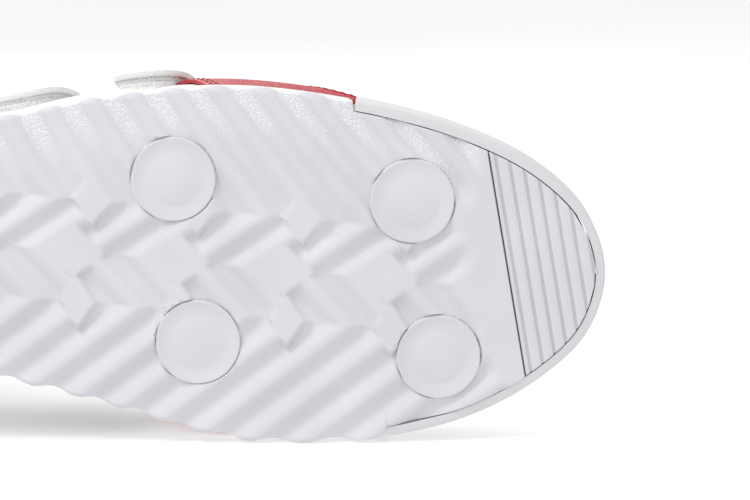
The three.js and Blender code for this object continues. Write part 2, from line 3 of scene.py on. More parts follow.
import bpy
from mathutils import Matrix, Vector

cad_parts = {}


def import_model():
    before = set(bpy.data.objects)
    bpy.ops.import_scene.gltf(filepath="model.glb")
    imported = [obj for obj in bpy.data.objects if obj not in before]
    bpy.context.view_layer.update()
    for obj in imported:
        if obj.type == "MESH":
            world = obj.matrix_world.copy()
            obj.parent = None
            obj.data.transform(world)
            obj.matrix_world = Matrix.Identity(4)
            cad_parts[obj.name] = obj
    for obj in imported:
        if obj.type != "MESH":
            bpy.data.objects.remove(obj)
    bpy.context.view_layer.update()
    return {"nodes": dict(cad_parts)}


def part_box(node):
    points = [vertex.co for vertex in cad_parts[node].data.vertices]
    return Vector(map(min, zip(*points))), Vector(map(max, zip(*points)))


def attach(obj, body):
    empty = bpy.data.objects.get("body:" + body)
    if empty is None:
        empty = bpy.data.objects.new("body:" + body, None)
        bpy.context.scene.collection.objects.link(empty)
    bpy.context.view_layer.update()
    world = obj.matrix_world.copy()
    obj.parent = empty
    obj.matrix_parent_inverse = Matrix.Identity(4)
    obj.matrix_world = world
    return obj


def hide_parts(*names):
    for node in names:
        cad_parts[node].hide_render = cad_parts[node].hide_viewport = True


bl_info = {
    "name": "Bowling Shoe",
    "version": (1, 0, 0),
    "blender": (4, 5, 0),
    "location": "View3D > Sidebar > Shoe",
    "description": "Builds a low-cut bowling shoe, sole and upper, around its fixed frame",
    "category": "Object",
}

import math
from functools import partial

import bpy
import numpy as np
from mathutils import Vector

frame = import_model()

# ---- The last the shoe is built on, in millimetres from the back of the heel ----
MM = 0.001
LENGTH = 295.0
WIDTH = 105.0
MIDDLE_X = 147.5
MIDDLE_Y = -2.46
TOE_SPRING = 9.0
SPRING_START = 200.0
HEEL_BED = 23.0
FORE_BED = 15.0
GAP = 0.3
RIM = 2.8
SHEET = RIM + GAP
BUMPER_LATERAL = 222.0
BUMPER_MEDIAL = 231.0
HEEL_BAND_FRONT = 52.0
SPINE_HEEL = 48.0
SPINE_TOE = 248.0
LATERAL_SWELL = 2.7
REACHES = [
    (0.01, -0.175, 0.065), (0.048, -0.31, 0.195), (0.13, -0.377, 0.272), (0.255, -0.387, 0.272),
    (0.39, -0.433, 0.29), (0.508, -0.495, 0.368), (0.627, -0.522, 0.462), (0.746, -0.484, 0.47),
    (0.857, -0.4, 0.412), (0.935, -0.288, 0.302), (0.983, -0.152, 0.172),
]
RIDGE_LINE = [
    (0, 126), (80, 126), (98, 121), (112, 112), (130, 101), (150, 90), (180, 75), (205, 64), (228, 56.5),
    (248, 53),
]
HALF = math.pi / 2
ACROSS_POWER = 2.35
UP_POWER = 2.05


def smooth(a, b, x):
    """0 at a, 1 at b, with soft ends."""
    t = np.clip((x - a) / (b - a), 0, 1)
    return t * t * (3 - 2 * t)


def lift(x):
    """How far the sole rises towards the toe."""
    return TOE_SPRING * np.maximum(0, (x - SPRING_START) / (LENGTH - SPRING_START)) ** 2


def bed(x):
    """Height of the top of the midsole."""
    return HEEL_BED + (FORE_BED - HEEL_BED) * smooth(70, 190, x)


def spine_y(x):
    """Middle line of the shoe in plan."""
    return -6.3 + 6.8 * smooth(130, 230, x)


def closed_spline(points, steps):
    """Points on a closed centripetal spline through the given ones, with its outward normals."""
    knots = np.array(points, float)
    count = len(knots)
    place = np.linspace(0, count, steps, endpoint=False)
    first = np.floor(place).astype(int)
    w = (place - first)[:, None]
    p0, p1, p2, p3 = (knots[(first + k) % count] for k in (-1, 0, 1, 2))
    d0, d1, d2 = (np.linalg.norm(b - a, axis=1)[:, None] ** 0.5 for a, b in ((p0, p1), (p1, p2), (p2, p3)))
    m1 = ((p1 - p0) / d0 - (p2 - p0) / (d0 + d1) + (p2 - p1) / d1) * d1
    m2 = ((p2 - p1) / d1 - (p3 - p1) / (d1 + d2) + (p3 - p2) / d2) * d1
    curve = p1 + m1 * w + (-3 * p1 + 3 * p2 - 2 * m1 - m2) * w**2 + (2 * p1 - 2 * p2 + m1 + m2) * w**3
    tangent = np.roll(curve, -1, axis=0) - np.roll(curve, 1, axis=0)
    normal = np.stack([tangent[:, 1], -tangent[:, 0]], axis=1)
    return curve, normal / np.linalg.norm(normal, axis=1)[:, None]


def half_outlines(steps=960):
    """The outline from heel to toe as [x, y, normal x, normal y], for the lateral and the medial side."""
    lateral = [(x * LENGTH, low * WIDTH) for x, low, high in REACHES]
    medial = [(x * LENGTH, high * WIDTH) for x, low, high in reversed(REACHES)]
    knots = [(0, -0.053 * WIDTH), *lateral, (LENGTH, 0.01 * WIDTH), *medial]
    curve, normal = closed_spline(knots, steps)
    normal[0] = (-1, 0)
    normal[steps // 2] = (1, 0)
    whole = np.hstack([curve, normal])
    ring = np.vstack([whole, whole[:1]])
    return {-1: ring[: steps // 2 + 1], 1: ring[steps // 2 :][::-1]}


SIDES = half_outlines()
SHARES = np.linspace(0, 1, len(SIDES[-1]))


def ridge_table():
    """The ridge of the form as a smooth line through its points."""
    knots = np.array(RIDGE_LINE, float)
    last = len(knots) - 1
    place = np.linspace(0, last, 900)
    first = np.minimum(np.floor(place).astype(int), last - 1)
    w = (place - first)[:, None]
    p0, p1, p2, p3 = (knots[np.clip(first + k, 0, last)] for k in (-1, 0, 1, 2))
    m1, m2 = (p2 - p0) / 2, (p3 - p1) / 2
    return p1 + m1 * w + (-3 * p1 + 3 * p2 - 2 * m1 - m2) * w**2 + (2 * p1 - 2 * p2 + m1 + m2) * w**3


RIDGE = ridge_table()


def ridge(x):
    """Height of the form's ridge above the ground line."""
    return np.interp(x, RIDGE[:, 0], RIDGE[:, 1])


def edge(share, side, inset):
    """The outline's point at a share of the way from heel to toe, moved inwards."""
    row = [np.interp(share, SHARES, SIDES[side][:, k]) for k in range(4)]
    return row[0] - row[2] * inset, row[1] - row[3] * inset


def skin(share, turn, inset=0.0):
    """A point of the foot form.

    turn runs from 0 at the lateral edge over the ridge to pi at the medial edge."""
    share, turn = np.broadcast_arrays(np.asarray(share, float), np.asarray(turn, float))
    lateral = edge(share, -1, SHEET + inset)
    medial = edge(share, 1, SHEET + inset)
    outer = turn <= HALF
    angle = np.clip(np.where(outer, turn, math.pi - turn), 0, HALF)
    edge_x = np.where(outer, lateral[0], medial[0])
    edge_y = np.where(outer, lateral[1], medial[1])
    crest_x = np.clip((lateral[0] + medial[0]) / 2, SPINE_HEEL, SPINE_TOE)
    crest_y = spine_y(crest_x)
    crest_z = ridge(crest_x) + lift(crest_x) - inset
    base = bed(edge_x) + GAP + lift(edge_x)
    across = np.clip(np.cos(angle), 0, 1) ** (2 / ACROSS_POWER)
    up = np.sin(angle) ** (2 / UP_POWER)
    x = crest_x + (edge_x - crest_x) * across
    y = crest_y + (edge_y - crest_y) * across
    swell = smooth(0.02, 0.3, angle) * smooth(1.25, 0.5, angle)
    swell = swell * smooth(0.3, 0.5, share) * smooth(0.94, 0.8, share)
    y = y - np.where(outer, LATERAL_SWELL * swell, 0)
    return np.stack([x, y, base + (crest_z - base) * up], axis=-1)


def turned(angle, side):
    """The turn that stands for an angle above the edge of one side."""
    return angle if side < 0 else math.pi - angle


def solve(function, low, high, steps=34):
    """The place between low and high where a rising function passes zero."""
    low = np.array(low, float)
    high = np.array(high, float)
    for _ in range(steps):
        middle = (low + high) / 2
        below = function(middle) < 0
        low = np.where(below, middle, low)
        high = np.where(below, high, middle)
    return (low + high) / 2


def world(points):
    """Millimetres on the last to metres in the frame."""
    points = np.asarray(points, float)
    return (points - (MIDDLE_X, MIDDLE_Y, 0)) * MM


# ---- Modelling helpers ----
def deselect():
    """Leaves edit mode and selects nothing."""
    if bpy.context.object and bpy.context.object.mode != "OBJECT":
        bpy.ops.object.mode_set(mode="OBJECT")
    bpy.ops.object.select_all(action="DESELECT")


def pick(obj):
    """Makes one object the only selected one."""
    deselect()
    obj.select_set(True)
    bpy.context.view_layer.objects.active = obj


def corners(obj):
    """The mesh's corner points in metres."""
    co = np.zeros(len(obj.data.vertices) * 3, np.float32)
    obj.data.vertices.foreach_get("co", co)
    return co.reshape(-1, 3).astype(float)


def put(obj, points):
    """Moves the mesh's corner points."""
    obj.data.vertices.foreach_set("co", np.asarray(points, np.float32).ravel())
    obj.data.update()


def added(name):
    """Names the object that was just added."""
    obj = bpy.context.object
    obj.name = name
    obj.data.name = name
    return obj


def grid(name, columns, rows, place):
    """A grid bent to shape: place(u, v) gives millimetres for u and v from 0 to 1."""
    deselect()
    bpy.ops.mesh.primitive_grid_add(x_subdivisions=columns, y_subdivisions=rows, size=1)
    obj = added(name)
    flat = corners(obj)
    u = np.clip(np.round((flat[:, 0] + 0.5) * columns) / columns, 0, 1)
    v = np.clip(np.round((flat[:, 1] + 0.5) * rows) / rows, 0, 1)
    put(obj, world(place(u, v)))
    return obj


def edit(obj, *steps):
    """Runs edit-mode operators with everything selected."""
    pick(obj)
    bpy.ops.object.mode_set(mode="EDIT")
    bpy.ops.mesh.select_all(action="SELECT")
    for step in steps:
        step()
    bpy.ops.object.mode_set(mode="OBJECT")


def weld(obj, distance=2e-6):
    """Joins corners that lie together."""
    edit(obj, lambda: bpy.ops.mesh.remove_doubles(threshold=distance),
         lambda: bpy.ops.mesh.dissolve_degenerate(threshold=1e-7))


def face_out(obj):
    """Turns an open sheet's faces away from the middle of the foot."""
    total = 0.0
    for face in obj.data.polygons:
        x = face.center.x
        core = Vector((x * 0.72, (spine_y(x / MM + MIDDLE_X) - MIDDLE_Y) * MM, 0.036))
        total += face.normal.dot(face.center - core) * face.area
    if total < 0:
        edit(obj, bpy.ops.mesh.flip_normals)


def close_out(obj):
    """Turns a closed shell's faces outwards."""
    edit(obj, lambda: bpy.ops.mesh.normals_make_consistent(inside=False))


def apply_modifier(obj, kind, **settings):
    """Adds a modifier and applies it."""
    pick(obj)
    modifier = obj.modifiers.new(kind.title(), kind)
    for key, value in settings.items():
        setattr(modifier, key, value)
    bpy.ops.object.modifier_apply(modifier=modifier.name)


def shade(obj, degrees=35):
    """Smooths the shading except over sharp edges."""
    pick(obj)
    bpy.ops.object.shade_smooth_by_angle(angle=math.radians(degrees))


def sheet_piece(name, columns, rows, place, thickness, round_edge=0.35):
    """A sheet on the form, given its thickness inwards and rounded edges."""
    obj = grid(name, columns, rows, place)
    weld(obj)
    face_out(obj)
    apply_modifier(obj, "SOLIDIFY", thickness=thickness * MM, offset=-1, use_even_offset=False)
    if round_edge:
        apply_modifier(obj, "BEVEL", width=round_edge * MM, segments=2, limit_method="ANGLE",
                       angle_limit=math.radians(50))
    shade(obj, 50)
    return obj


def settle(obj, body, slot, material, *nodes):
    """Hands a finished piece to the frame: the body it rides on, its finish and what it stands for."""
    obj.data.materials.clear()
    obj.data.materials.append(material)
    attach(obj, body)
    if nodes:
        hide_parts(*nodes)
    return obj


# ---- Materials ----
def chosen(name):
    """A size chosen in the sidebar, in millimetres."""
    return getattr(bpy.context.scene.shoe_sizes, name) / MM


def hex_colour(text):
    """A sheet-of-paper hex colour as the linear numbers a shader takes."""
    parts = [int(text[k : k + 2], 16) / 255 for k in (0, 2, 4)]
    return (*[c / 12.92 if c <= 0.04045 else ((c + 0.055) / 1.055) ** 2.4 for c in parts], 1.0)


class Finish:
    """A material's nodes, built one after another."""

    def __init__(self, name, roughness, specular=0.5):
        self.material = bpy.data.materials.new(name)
        self.material.use_nodes = True
        self.nodes = self.material.node_tree.nodes
        self.links = self.material.node_tree.links
        self.shader = self.nodes["Principled BSDF"]
        self.shader.inputs["Specular IOR Level"].default_value = specular
        self.shader.inputs["Roughness"].default_value = roughness
        self.place = self.nodes.new("ShaderNodeTexCoord").outputs["Object"]
        self.bump = None

    def add(self, kind, inputs=(), **settings):
        node = self.nodes.new(kind)
        for key, value in settings.items():
            setattr(node, key, value)
        for key, value in dict(inputs).items():
            if isinstance(value, bpy.types.NodeSocket):
                self.links.new(value, node.inputs[key])
            else:
                node.inputs[key].default_value = value
        return node

    def stretched(self, scale, rotation=(0, 0, 0)):
        inputs = {"Vector": self.place, "Scale": scale, "Rotation": rotation}
        return self.add("ShaderNodeMapping", inputs).outputs["Vector"]

    def noise(self, scale, detail=3.0, vector=None, roughness=0.5):
        inputs = {"Vector": vector or self.place, "Scale": scale, "Detail": detail, "Roughness": roughness}
        return self.add("ShaderNodeTexNoise", inputs).outputs["Fac"]

    def cells(self, scale, feature="F1", vector=None):
        inputs = {"Vector": vector or self.place, "Scale": scale}
        return self.add("ShaderNodeTexVoronoi", inputs, feature=feature).outputs["Distance"]

    def waves(self, scale, vector=None, direction="X", distortion=0.0):
        inputs = {"Vector": vector or self.place, "Scale": scale, "Distortion": distortion}
        return self.add("ShaderNodeTexWave", inputs, bands_direction=direction).outputs["Fac"]

    def ranged(self, value, low, high, to_low=0.0, to_high=1.0):
        inputs = {"Value": value, "From Min": low, "From Max": high, "To Min": to_low, "To Max": to_high}
        return self.add("ShaderNodeMapRange", inputs).outputs["Result"]

    def math(self, operation, a, b=0.0):
        return self.add("ShaderNodeMath", {0: a, 1: b}, operation=operation).outputs["Value"]

    def attribute(self, name):
        return self.add("ShaderNodeAttribute", attribute_name=name).outputs["Fac"]

    def mix(self, share, first, second):
        node = self.nodes.new("ShaderNodeMix")
        node.data_type = "RGBA"
        for key, value in (("Factor", share), ("A", first), ("B", second)):
            sockets = [s for s in node.inputs if s.name == key and s.enabled]
            if isinstance(value, bpy.types.NodeSocket):
                self.links.new(value, sockets[0])
            else:
                sockets[0].default_value = value
        return [s for s in node.outputs if s.enabled][0]

    def colour(self, value):
        self.links.new(value, self.shader.inputs["Base Color"])

    def rough(self, value):
        self.links.new(value, self.shader.inputs["Roughness"])

    def raise_by(self, height, distance, strength=1.0):
        """Adds relief of a height in millimetres."""
        inputs = {"Height": height, "Distance": distance * MM, "Strength": strength}
        node = self.add("ShaderNodeBump", inputs)
        if self.bump:
            self.links.new(self.bump, node.inputs["Normal"])
        self.bump = node.outputs["Normal"]
        self.links.new(self.bump, self.shader.inputs["Normal"])


def rubber(name, tone, shade_tone, roughness=0.55, knurled=False):
    """Moulded rubber: faint mottling, fine pebble, soft scuffs, and where knurled a fine knurling whose zone
    is also painted lighter towards white as a painted highlight.
    """
    f = Finish(name, roughness, 0.35)
    cloud = f.noise(38, 4)
    pebble = f.noise(2600, 2)
    colour = f.mix(f.ranged(cloud, 0.35, 0.68), tone, shade_tone)
    f.rough(f.ranged(f.noise(120, 4), 0.3, 0.75, roughness - 0.09, roughness + 0.12))
    f.raise_by(pebble, 0.05, 0.55)
    f.raise_by(f.noise(330, 3), 0.09, 0.35)
    if knurled:
        knurl = f.attribute("knurl")
        dots = f.ranged(f.cells(1150), 0.1, 0.62)
        f.raise_by(f.math("MULTIPLY", dots, knurl), 0.2, 0.8)
        # Painted highlight: the knurling's zone, most of all its dot centres, is lightened towards white.
        light = f.math("MULTIPLY", knurl, f.ranged(dots, 0.1, 0.8, 1.0, 0.25))
        colour = f.mix(light, colour, hex_colour("ffffff"))
    f.colour(colour)
    return f.material


def leather(name, tone, dark_tone, roughness=0.42, grain=900, depth=0.1, mesh=False):
    """Smooth leather with a pebbled grain, faint creases and painted shade in the creases, which leaves the
    high spots lighter.
    """
    f = Finish(name, roughness, 0.45)
    crease = f.cells(grain, "DISTANCE_TO_EDGE")
    fine = f.noise(grain * 2.2, 3)
    cloud = f.noise(24, 4)
    base = f.mix(f.ranged(cloud, 0.35, 0.7), tone, dark_tone)
    # Painted shade: the grain's creases are darkened towards the dark tone.
    painted_crease_shade = f.ranged(crease, 0.0, 0.09, 0.35, 0.0)
    f.colour(f.mix(painted_crease_shade, base, dark_tone))
    f.rough(f.ranged(f.noise(150, 3), 0.3, 0.7, roughness - 0.07, roughness + 0.13))
    f.raise_by(f.ranged(crease, 0.0, 0.16), depth, 0.8)
    f.raise_by(fine, 0.03, 0.6)
    if mesh:
        weave = f.stretched((1, 1, 1), (0, 0, math.radians(45)))
        bars = f.math("MULTIPLY", f.waves(330, weave, "X"), f.waves(330, weave, "Y"))
        f.raise_by(bars, 0.12, 0.7)
    return f.material


def textile(name, tone, dark_tone, pitch=420, depth=0.25, roughness=0.85):
    """A knitted or woven cloth: crossed ribs with fuzz, and painted shade darkening the hollows between the
    ribs.
    """
    f = Finish(name, roughness, 0.2)
    ribs = f.math("MAXIMUM", f.waves(pitch, None, "X", 0.6), f.waves(pitch, None, "Z", 0.6))
    across = f.waves(pitch, None, "Y", 0.6)
    weave = f.math("MULTIPLY", ribs, f.ranged(across, 0.0, 1.0, 0.5, 1.0))
    fuzz = f.noise(1900, 3)
    # Painted shade: where the weave is low, the colour goes to the dark tone.
    base = f.mix(weave, dark_tone, tone)
    f.colour(f.mix(f.ranged(fuzz, 0.35, 0.75, 0, 0.3), base, dark_tone))
    f.shader.inputs["Sheen Weight"].default_value = 0.25
    f.shader.inputs["Sheen Roughness"].default_value = 0.6
    f.rough(f.ranged(fuzz, 0.3, 0.7, roughness - 0.08, roughness + 0.08))
    f.raise_by(weave, depth, 0.8)
    f.raise_by(fuzz, 0.06, 0.5)
    return f.material


def pile(name, tone, dark_tone, scale=1500):
    """The fuzzy face of a hook-and-loop patch."""
    f = Finish(name, 0.9, 0.15)
    tuft = f.cells(scale)
    f.colour(f.mix(f.ranged(tuft, 0.1, 0.7), tone, dark_tone))
    f.rough(f.ranged(f.noise(700, 3), 0.3, 0.7, 0.8, 0.98))
    f.shader.inputs["Sheen Weight"].default_value = 0.3
    f.raise_by(tuft, 0.5, 1.0)
    return f.material


def thread(name, tone, dark_tone):
    """Twisted sewing thread."""
    f = Finish(name, 0.6, 0.3)
    twist = f.waves(900, f.stretched((1, 1, 1), (0.4, 0.7, 0.3)), "X", 1.0)
    f.colour(f.mix(twist, tone, dark_tone))
    f.rough(f.ranged(f.noise(900, 2), 0.3, 0.7, 0.5, 0.7))
    f.raise_by(twist, 0.06, 0.6)
    return f.material


def board(name, tone, dark_tone, roughness=0.85):
    """Pressed fibre board with flecks."""
    f = Finish(name, roughness, 0.2)
    fleck = f.noise(500, 5, f.stretched((1, 4, 4)))
    f.colour(f.mix(f.ranged(fleck, 0.35, 0.7), tone, dark_tone))
    f.rough(f.ranged(fleck, 0.3, 0.7, roughness - 0.1, roughness + 0.1))
    f.raise_by(fleck, 0.08, 0.6)
    return f.material


def steel(name):
    """Rolled spring steel with lengthwise brushing."""
    f = Finish(name, 0.32, 0.5)
    f.shader.inputs["Metallic"].default_value = 1.0
    lines = f.noise(900, 3, f.stretched((0.04, 1, 1)))
    f.colour(f.mix(lines, hex_colour("9ea3a8"), hex_colour("7d8288")))
    f.rough(f.ranged(lines, 0.3, 0.7, 0.24, 0.42))
    f.raise_by(lines, 0.02, 0.4)
    return f.material


def foam(name, tone, dark_tone, scale=900):
    """Closed-cell foam with small open pores, darkened with painted shade."""
    f = Finish(name, 0.8, 0.2)
    pores = f.cells(scale)
    # Painted shade: the pores are darkened towards the dark tone.
    f.colour(f.mix(f.ranged(pores, 0.05, 0.3, 0.35, 0), tone, dark_tone))
    f.rough(f.ranged(f.noise(300, 3), 0.3, 0.7, 0.7, 0.9))
    f.raise_by(f.ranged(pores, 0.05, 0.4), 0.12, 0.7)
    f.raise_by(f.noise(60, 3), 0.3, 0.3)
    return f.material


MATERIALS = {}


def darker(colour, share):
    """The same colour with less light in it."""
    return (*[c * share for c in colour[:3]], 1.0)


def tones(name, share):
    """A colour chosen in the sidebar and its shaded partner."""
    colour = tuple(getattr(bpy.context.scene.shoe_colours, name))
    return colour, darker(colour, share)


def material(key):
    """Each finish is made once and shared."""
    makers = {
        "tread": lambda: rubber("Tread rubber", *tones("rubber", 0.94), 0.52, knurled=True),
        "pod": lambda: rubber("Pod rubber", *tones("rubber", 0.94), 0.42),
        "plate": lambda: rubber("Toe plate rubber", *tones("rubber", 0.94), 0.5),
        "rim": lambda: rubber("Rim rubber", *tones("rim", 0.96), 0.5),
        "midsole": lambda: foam("Midsole foam", *tones("midsole", 0.82), 700),
        "white": lambda: leather("White leather", *tones("white_leather", 0.9)),
        "vamp": lambda: leather("White leather vamp", *tones("white_leather", 0.9),
                                0.45, 1100, 0.08, mesh=True),
        "grey": lambda: leather("Grey leather", *tones("grey_leather", 0.76), 0.5),
        "red": lambda: leather("Red leather", *tones("red_leather", 0.74), 0.4),
        "lining": lambda: textile("Lining knit", *tones("lining", 0.72)),
        "padding": lambda: textile("Collar cloth", *tones("lining", 0.7), 520, 0.18),
        "insole": lambda: textile("Insole cloth", *tones("insole", 0.5), 380, 0.2),
        "hook": lambda: pile("Hook tape", *tones("tape", 0.93), 2100),
        "loop": lambda: pile("Loop tape", *tones("tape", 0.93), 1300),
        "white_thread": lambda: thread("White thread", *tones("white_thread", 0.76)),
        "red_thread": lambda: thread("Dark red thread", *tones("red_thread", 0.56)),
        "board": lambda: board("Lasting board", *tones("board", 0.58)),
        "stiffener": lambda: board("Stiffener", *tones("stiffener", 0.6)),
        "steel": lambda: steel("Spring steel"),
        "foam": lambda: foam("Tongue foam", *tones("foam", 0.72)),
    }
    if key not in MATERIALS:
        MATERIALS[key] = makers[key]()
    return MATERIALS[key]


# ---- Sole ----
OUTSOLE_TOP = 6.0
TREAD_EDGE = 1.2
PITCH = 15.2
VALLEY = 141.5
DRIFT = 0.09
DRIFT_CENTRE = 205.7
TURNS = (-16.2, -0.9, 13.9)
SLOPES = (0.786, -1.35, 0.95, -1.2)
PLATE_REAR = 266.5
PLATE_SLANT = 0.17
PLATE_DROP = 0.4
PLATE_THICKNESS = 2.3
GROOVES = 7
GROOVE_FIRST = 1.6
GROOVE_PITCH = 3.9
POD_HEIGHT = 4.2
POD_RADIUS = round((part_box("pod_lateral_rear")[1].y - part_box("pod_lateral_rear")[0].y) / 2 / MM, 1)
PODS = ("pod_lateral_front", "pod_medial_front", "pod_lateral_rear", "pod_medial_rear",
        "heel_pod_lateral", "heel_pod_medial")


def pod_centre(name):
    """Middle of a pod in plan, in millimetres on the last."""
    low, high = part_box(name)
    return (low.x + high.x) / 2 / MM + MIDDLE_X, (low.y + high.y) / 2 / MM + MIDDLE_Y


def path_shift(u):
    """How far a groove has moved along the shoe where it crosses a line u across."""
    first, second, third = TURNS
    shift = np.where(u < first, SLOPES[0] * (u - first), 0)
    shift = shift + SLOPES[1] * (np.clip(u, first, second) - first)
    shift = shift + SLOPES[2] * (np.clip(u, second, third) - second)
    return shift + np.where(u > third, SLOPES[3] * (u - third), 0)


def diamond(x, u, centre_x, centre_u, half_x, half_u):
    """1 inside a flat diamond that repeats every second pitch, 0 outside, with a steep edge."""
    off = (x - centre_x + PITCH) % (2 * PITCH) - PITCH
    return smooth(1.1, 0.86, np.abs(off) / half_x + np.abs(u - centre_u) / half_u)


def tread_depth(x, y):
    """Depth of the tread below its crests, as a share of the full depth."""
    u = y - DRIFT * (x - DRIFT_CENTRE)
    pitch = PITCH - 1.3 * smooth(-18, -52, u)
    phase = ((x - VALLEY - path_shift(u) - PITCH * 4) / pitch + 4) % 1.0
    rising = 0.56
    wave = np.where(phase < rising, phase / rising, (1 - phase) / (1 - rising))
    depth = 1 - smooth(0.04, 0.93, wave)
    turn_shift = path_shift(np.array(TURNS))
    flat = diamond(x, u, VALLEY + turn_shift[0] + 4, TURNS[0], 6.0, 8.0)
    flat = np.maximum(flat, diamond(x, u, VALLEY + PITCH + turn_shift[1] + 4, TURNS[1], 9.5, 8.5))
    flat = np.maximum(flat, diamond(x, u, VALLEY + turn_shift[2] + 6, TURNS[2], 5.5, 8.5))
    return depth * (1 - flat)


def rim_inset(x, y):
    """The tread stands back where the toe bumper wraps it."""
    start = BUMPER_LATERAL + (BUMPER_MEDIAL - BUMPER_LATERAL) * smooth(-20, 20, y)
    return SHEET * smooth(start - GAP - 0.5, start - GAP, x)


def tread_outline(side):
    """The tread's own outline on one side, standing back behind the toe bumper."""
    x, y, nx, ny = SIDES[side].T
    inset = rim_inset(x, np.full_like(x, side * 50.0))
    return x - nx * inset, y - ny * inset


def tread_ends(x):
    """Lowest and highest Y of the whole outline at each X."""
    low, high = (np.interp(x, SIDES[side][:, 0], SIDES[side][:, 1]) for side in (-1, 1))
    middle = (low + high) / 2
    return np.minimum(low, middle - 0.02), np.maximum(high, middle + 0.02)


def stand_back(x, side):
    """How far the tread's edge stands inside the outline at each X."""
    edge_x, edge_y = tread_outline(side)
    return np.abs(np.interp(x, edge_x, edge_y) - np.interp(x, SIDES[side][:, 0], SIDES[side][:, 1]))


def tread_place(u, v):
    """The bottom of the outsole, crests on the ground."""
    along = 0.25 * (0.5 - 0.5 * np.cos(np.pi * u)) + 0.75 * u
    straight = along * (PLATE_REAR + 14)
    step = np.abs(straight - PLATE_REAR + 0.15) < 0.3
    before = straight < PLATE_REAR - 0.15
    straight = np.where(step, np.where(before, PLATE_REAR - 0.3, PLATE_REAR + 0.02), straight)
    slant = PLATE_SLANT * smooth(205, 262, straight)
    x = straight
    for _ in range(3):
        low, high = tread_ends(x)
        y = low + (high - low) * v
        y = y + stand_back(x, -1) * smooth(0.14, 0, v) - stand_back(x, 1) * smooth(0.86, 1, v)
        x = straight + slant * y
    behind_rim = np.maximum(stand_back(x, -1), stand_back(x, 1)) / SHEET
    pull = 1.1 * (1 - behind_rim) * tread_depth(x, np.where(v < 0.5, low, high))
    y = y + pull * (smooth(0.04, 0.0, v) - smooth(0.96, 1.0, v))
    for name in PODS:
        px, py = pod_centre(name)
        away = np.hypot(x - px, y - py)
        near = (away > POD_RADIUS - 0.4) & (away < POD_RADIUS + 1.0)
        ring = np.where(away < POD_RADIUS + 0.3, POD_RADIUS + 0.05, POD_RADIUS + 0.55)
        scale = np.where(near, ring / np.maximum(away, 1), 1)
        x, y = px + (x - px) * scale, py + (y - py) * scale
    line = PLATE_REAR + PLATE_SLANT * y
    depth = tread_depth(x, y)
    centre = smooth(36, 16, np.abs(y - 4))
    depth = depth * smooth(PLATE_REAR - 2.5 - 6 * centre, PLATE_REAR - 8.0 - 9 * centre, x - PLATE_SLANT * y)
    z = depth * chosen("ridge_depth")
    for name in PODS:
        px, py = pod_centre(name)
        away = np.hypot(x - px, y - py)
        z = np.maximum(z, 1.5 * smooth(POD_RADIUS + 0.5, POD_RADIUS + 0.1, away))
        z = np.where(away < POD_RADIUS - 0.6, 3.4, z)
    z = np.where(x > line - 0.1, 3.2, z)
    from_edge = np.minimum(y - low - stand_back(x, -1), high - stand_back(x, 1) - y)
    z = z + (0.9 - 0.65 * behind_rim) * smooth(1.6 - 1.0 * behind_rim, 0, from_edge) ** 2
    return np.stack([x, y, z + lift(x)], axis=-1)


def knurl_and_highlight_at(points):
    """How strongly the fine knurling and its painted highlight show: in the grooves, most of all towards the
    lateral edge.
    """
    x = points[:, 0] / MM + MIDDLE_X
    y = points[:, 1] / MM + MIDDLE_Y
    depth = tread_depth(x, y)
    u = y - DRIFT * (x - DRIFT_CENTRE)
    low = tread_ends(np.clip(x, 1, PLATE_REAR + 13))[0]
    lateral = smooth(17, 3, y - low) * smooth(0.35, 0.7, depth)
    patch = smooth(0.5, 0.9, depth) * smooth(0.45, 0.6, np.sin(x * 0.23 + u * 0.11) * 0.5 + 0.5) * 0.35
    fade = smooth(PLATE_REAR - 6, PLATE_REAR - 14, x)
    return np.clip(lateral + patch * smooth(26, 8, y - low), 0, 1) * fade


def raise_selected(height):
    """Extrudes what is selected straight up by a height in millimetres."""
    bpy.ops.mesh.extrude_region_move(TRANSFORM_OT_translate={"value": (0, 0, height * MM)})


def close_upwards(obj, top):
    """Raises a sheet's boundary to a height above the ground line and caps it."""
    edit(obj, bpy.ops.mesh.region_to_loop, partial(raise_selected, 0))
    points = corners(obj)
    at_rim = np.array([vertex.select for vertex in obj.data.vertices])
    x = points[at_rim, 0] / MM + MIDDLE_X
    points[at_rim, 2] = (top(x) + lift(x)) * MM
    put(obj, points)
    pick(obj)
    bpy.ops.object.mode_set(mode="EDIT")
    bpy.ops.mesh.edge_face_add()
    bpy.ops.object.mode_set(mode="OBJECT")
    close_out(obj)


def make_outsole():
    """The tread, its side wall and its closed top."""
    obj = grid("outsole_tread", 470, 172, tread_place)
    # The same mask sets the knurling's bump and its painted highlight.
    knurl = obj.data.attributes.new("knurl", "FLOAT", "POINT")
    knurl.data.foreach_set("value", knurl_and_highlight_at(corners(obj)).astype(np.float32))
    edit(obj, bpy.ops.mesh.region_to_loop, partial(raise_selected, TREAD_EDGE))
    close_upwards(obj, lambda x: OUTSOLE_TOP + 0 * x)
    shade(obj, 60)
    return settle(obj, "shoe", "sole_rubber", material("tread"), "outsole")


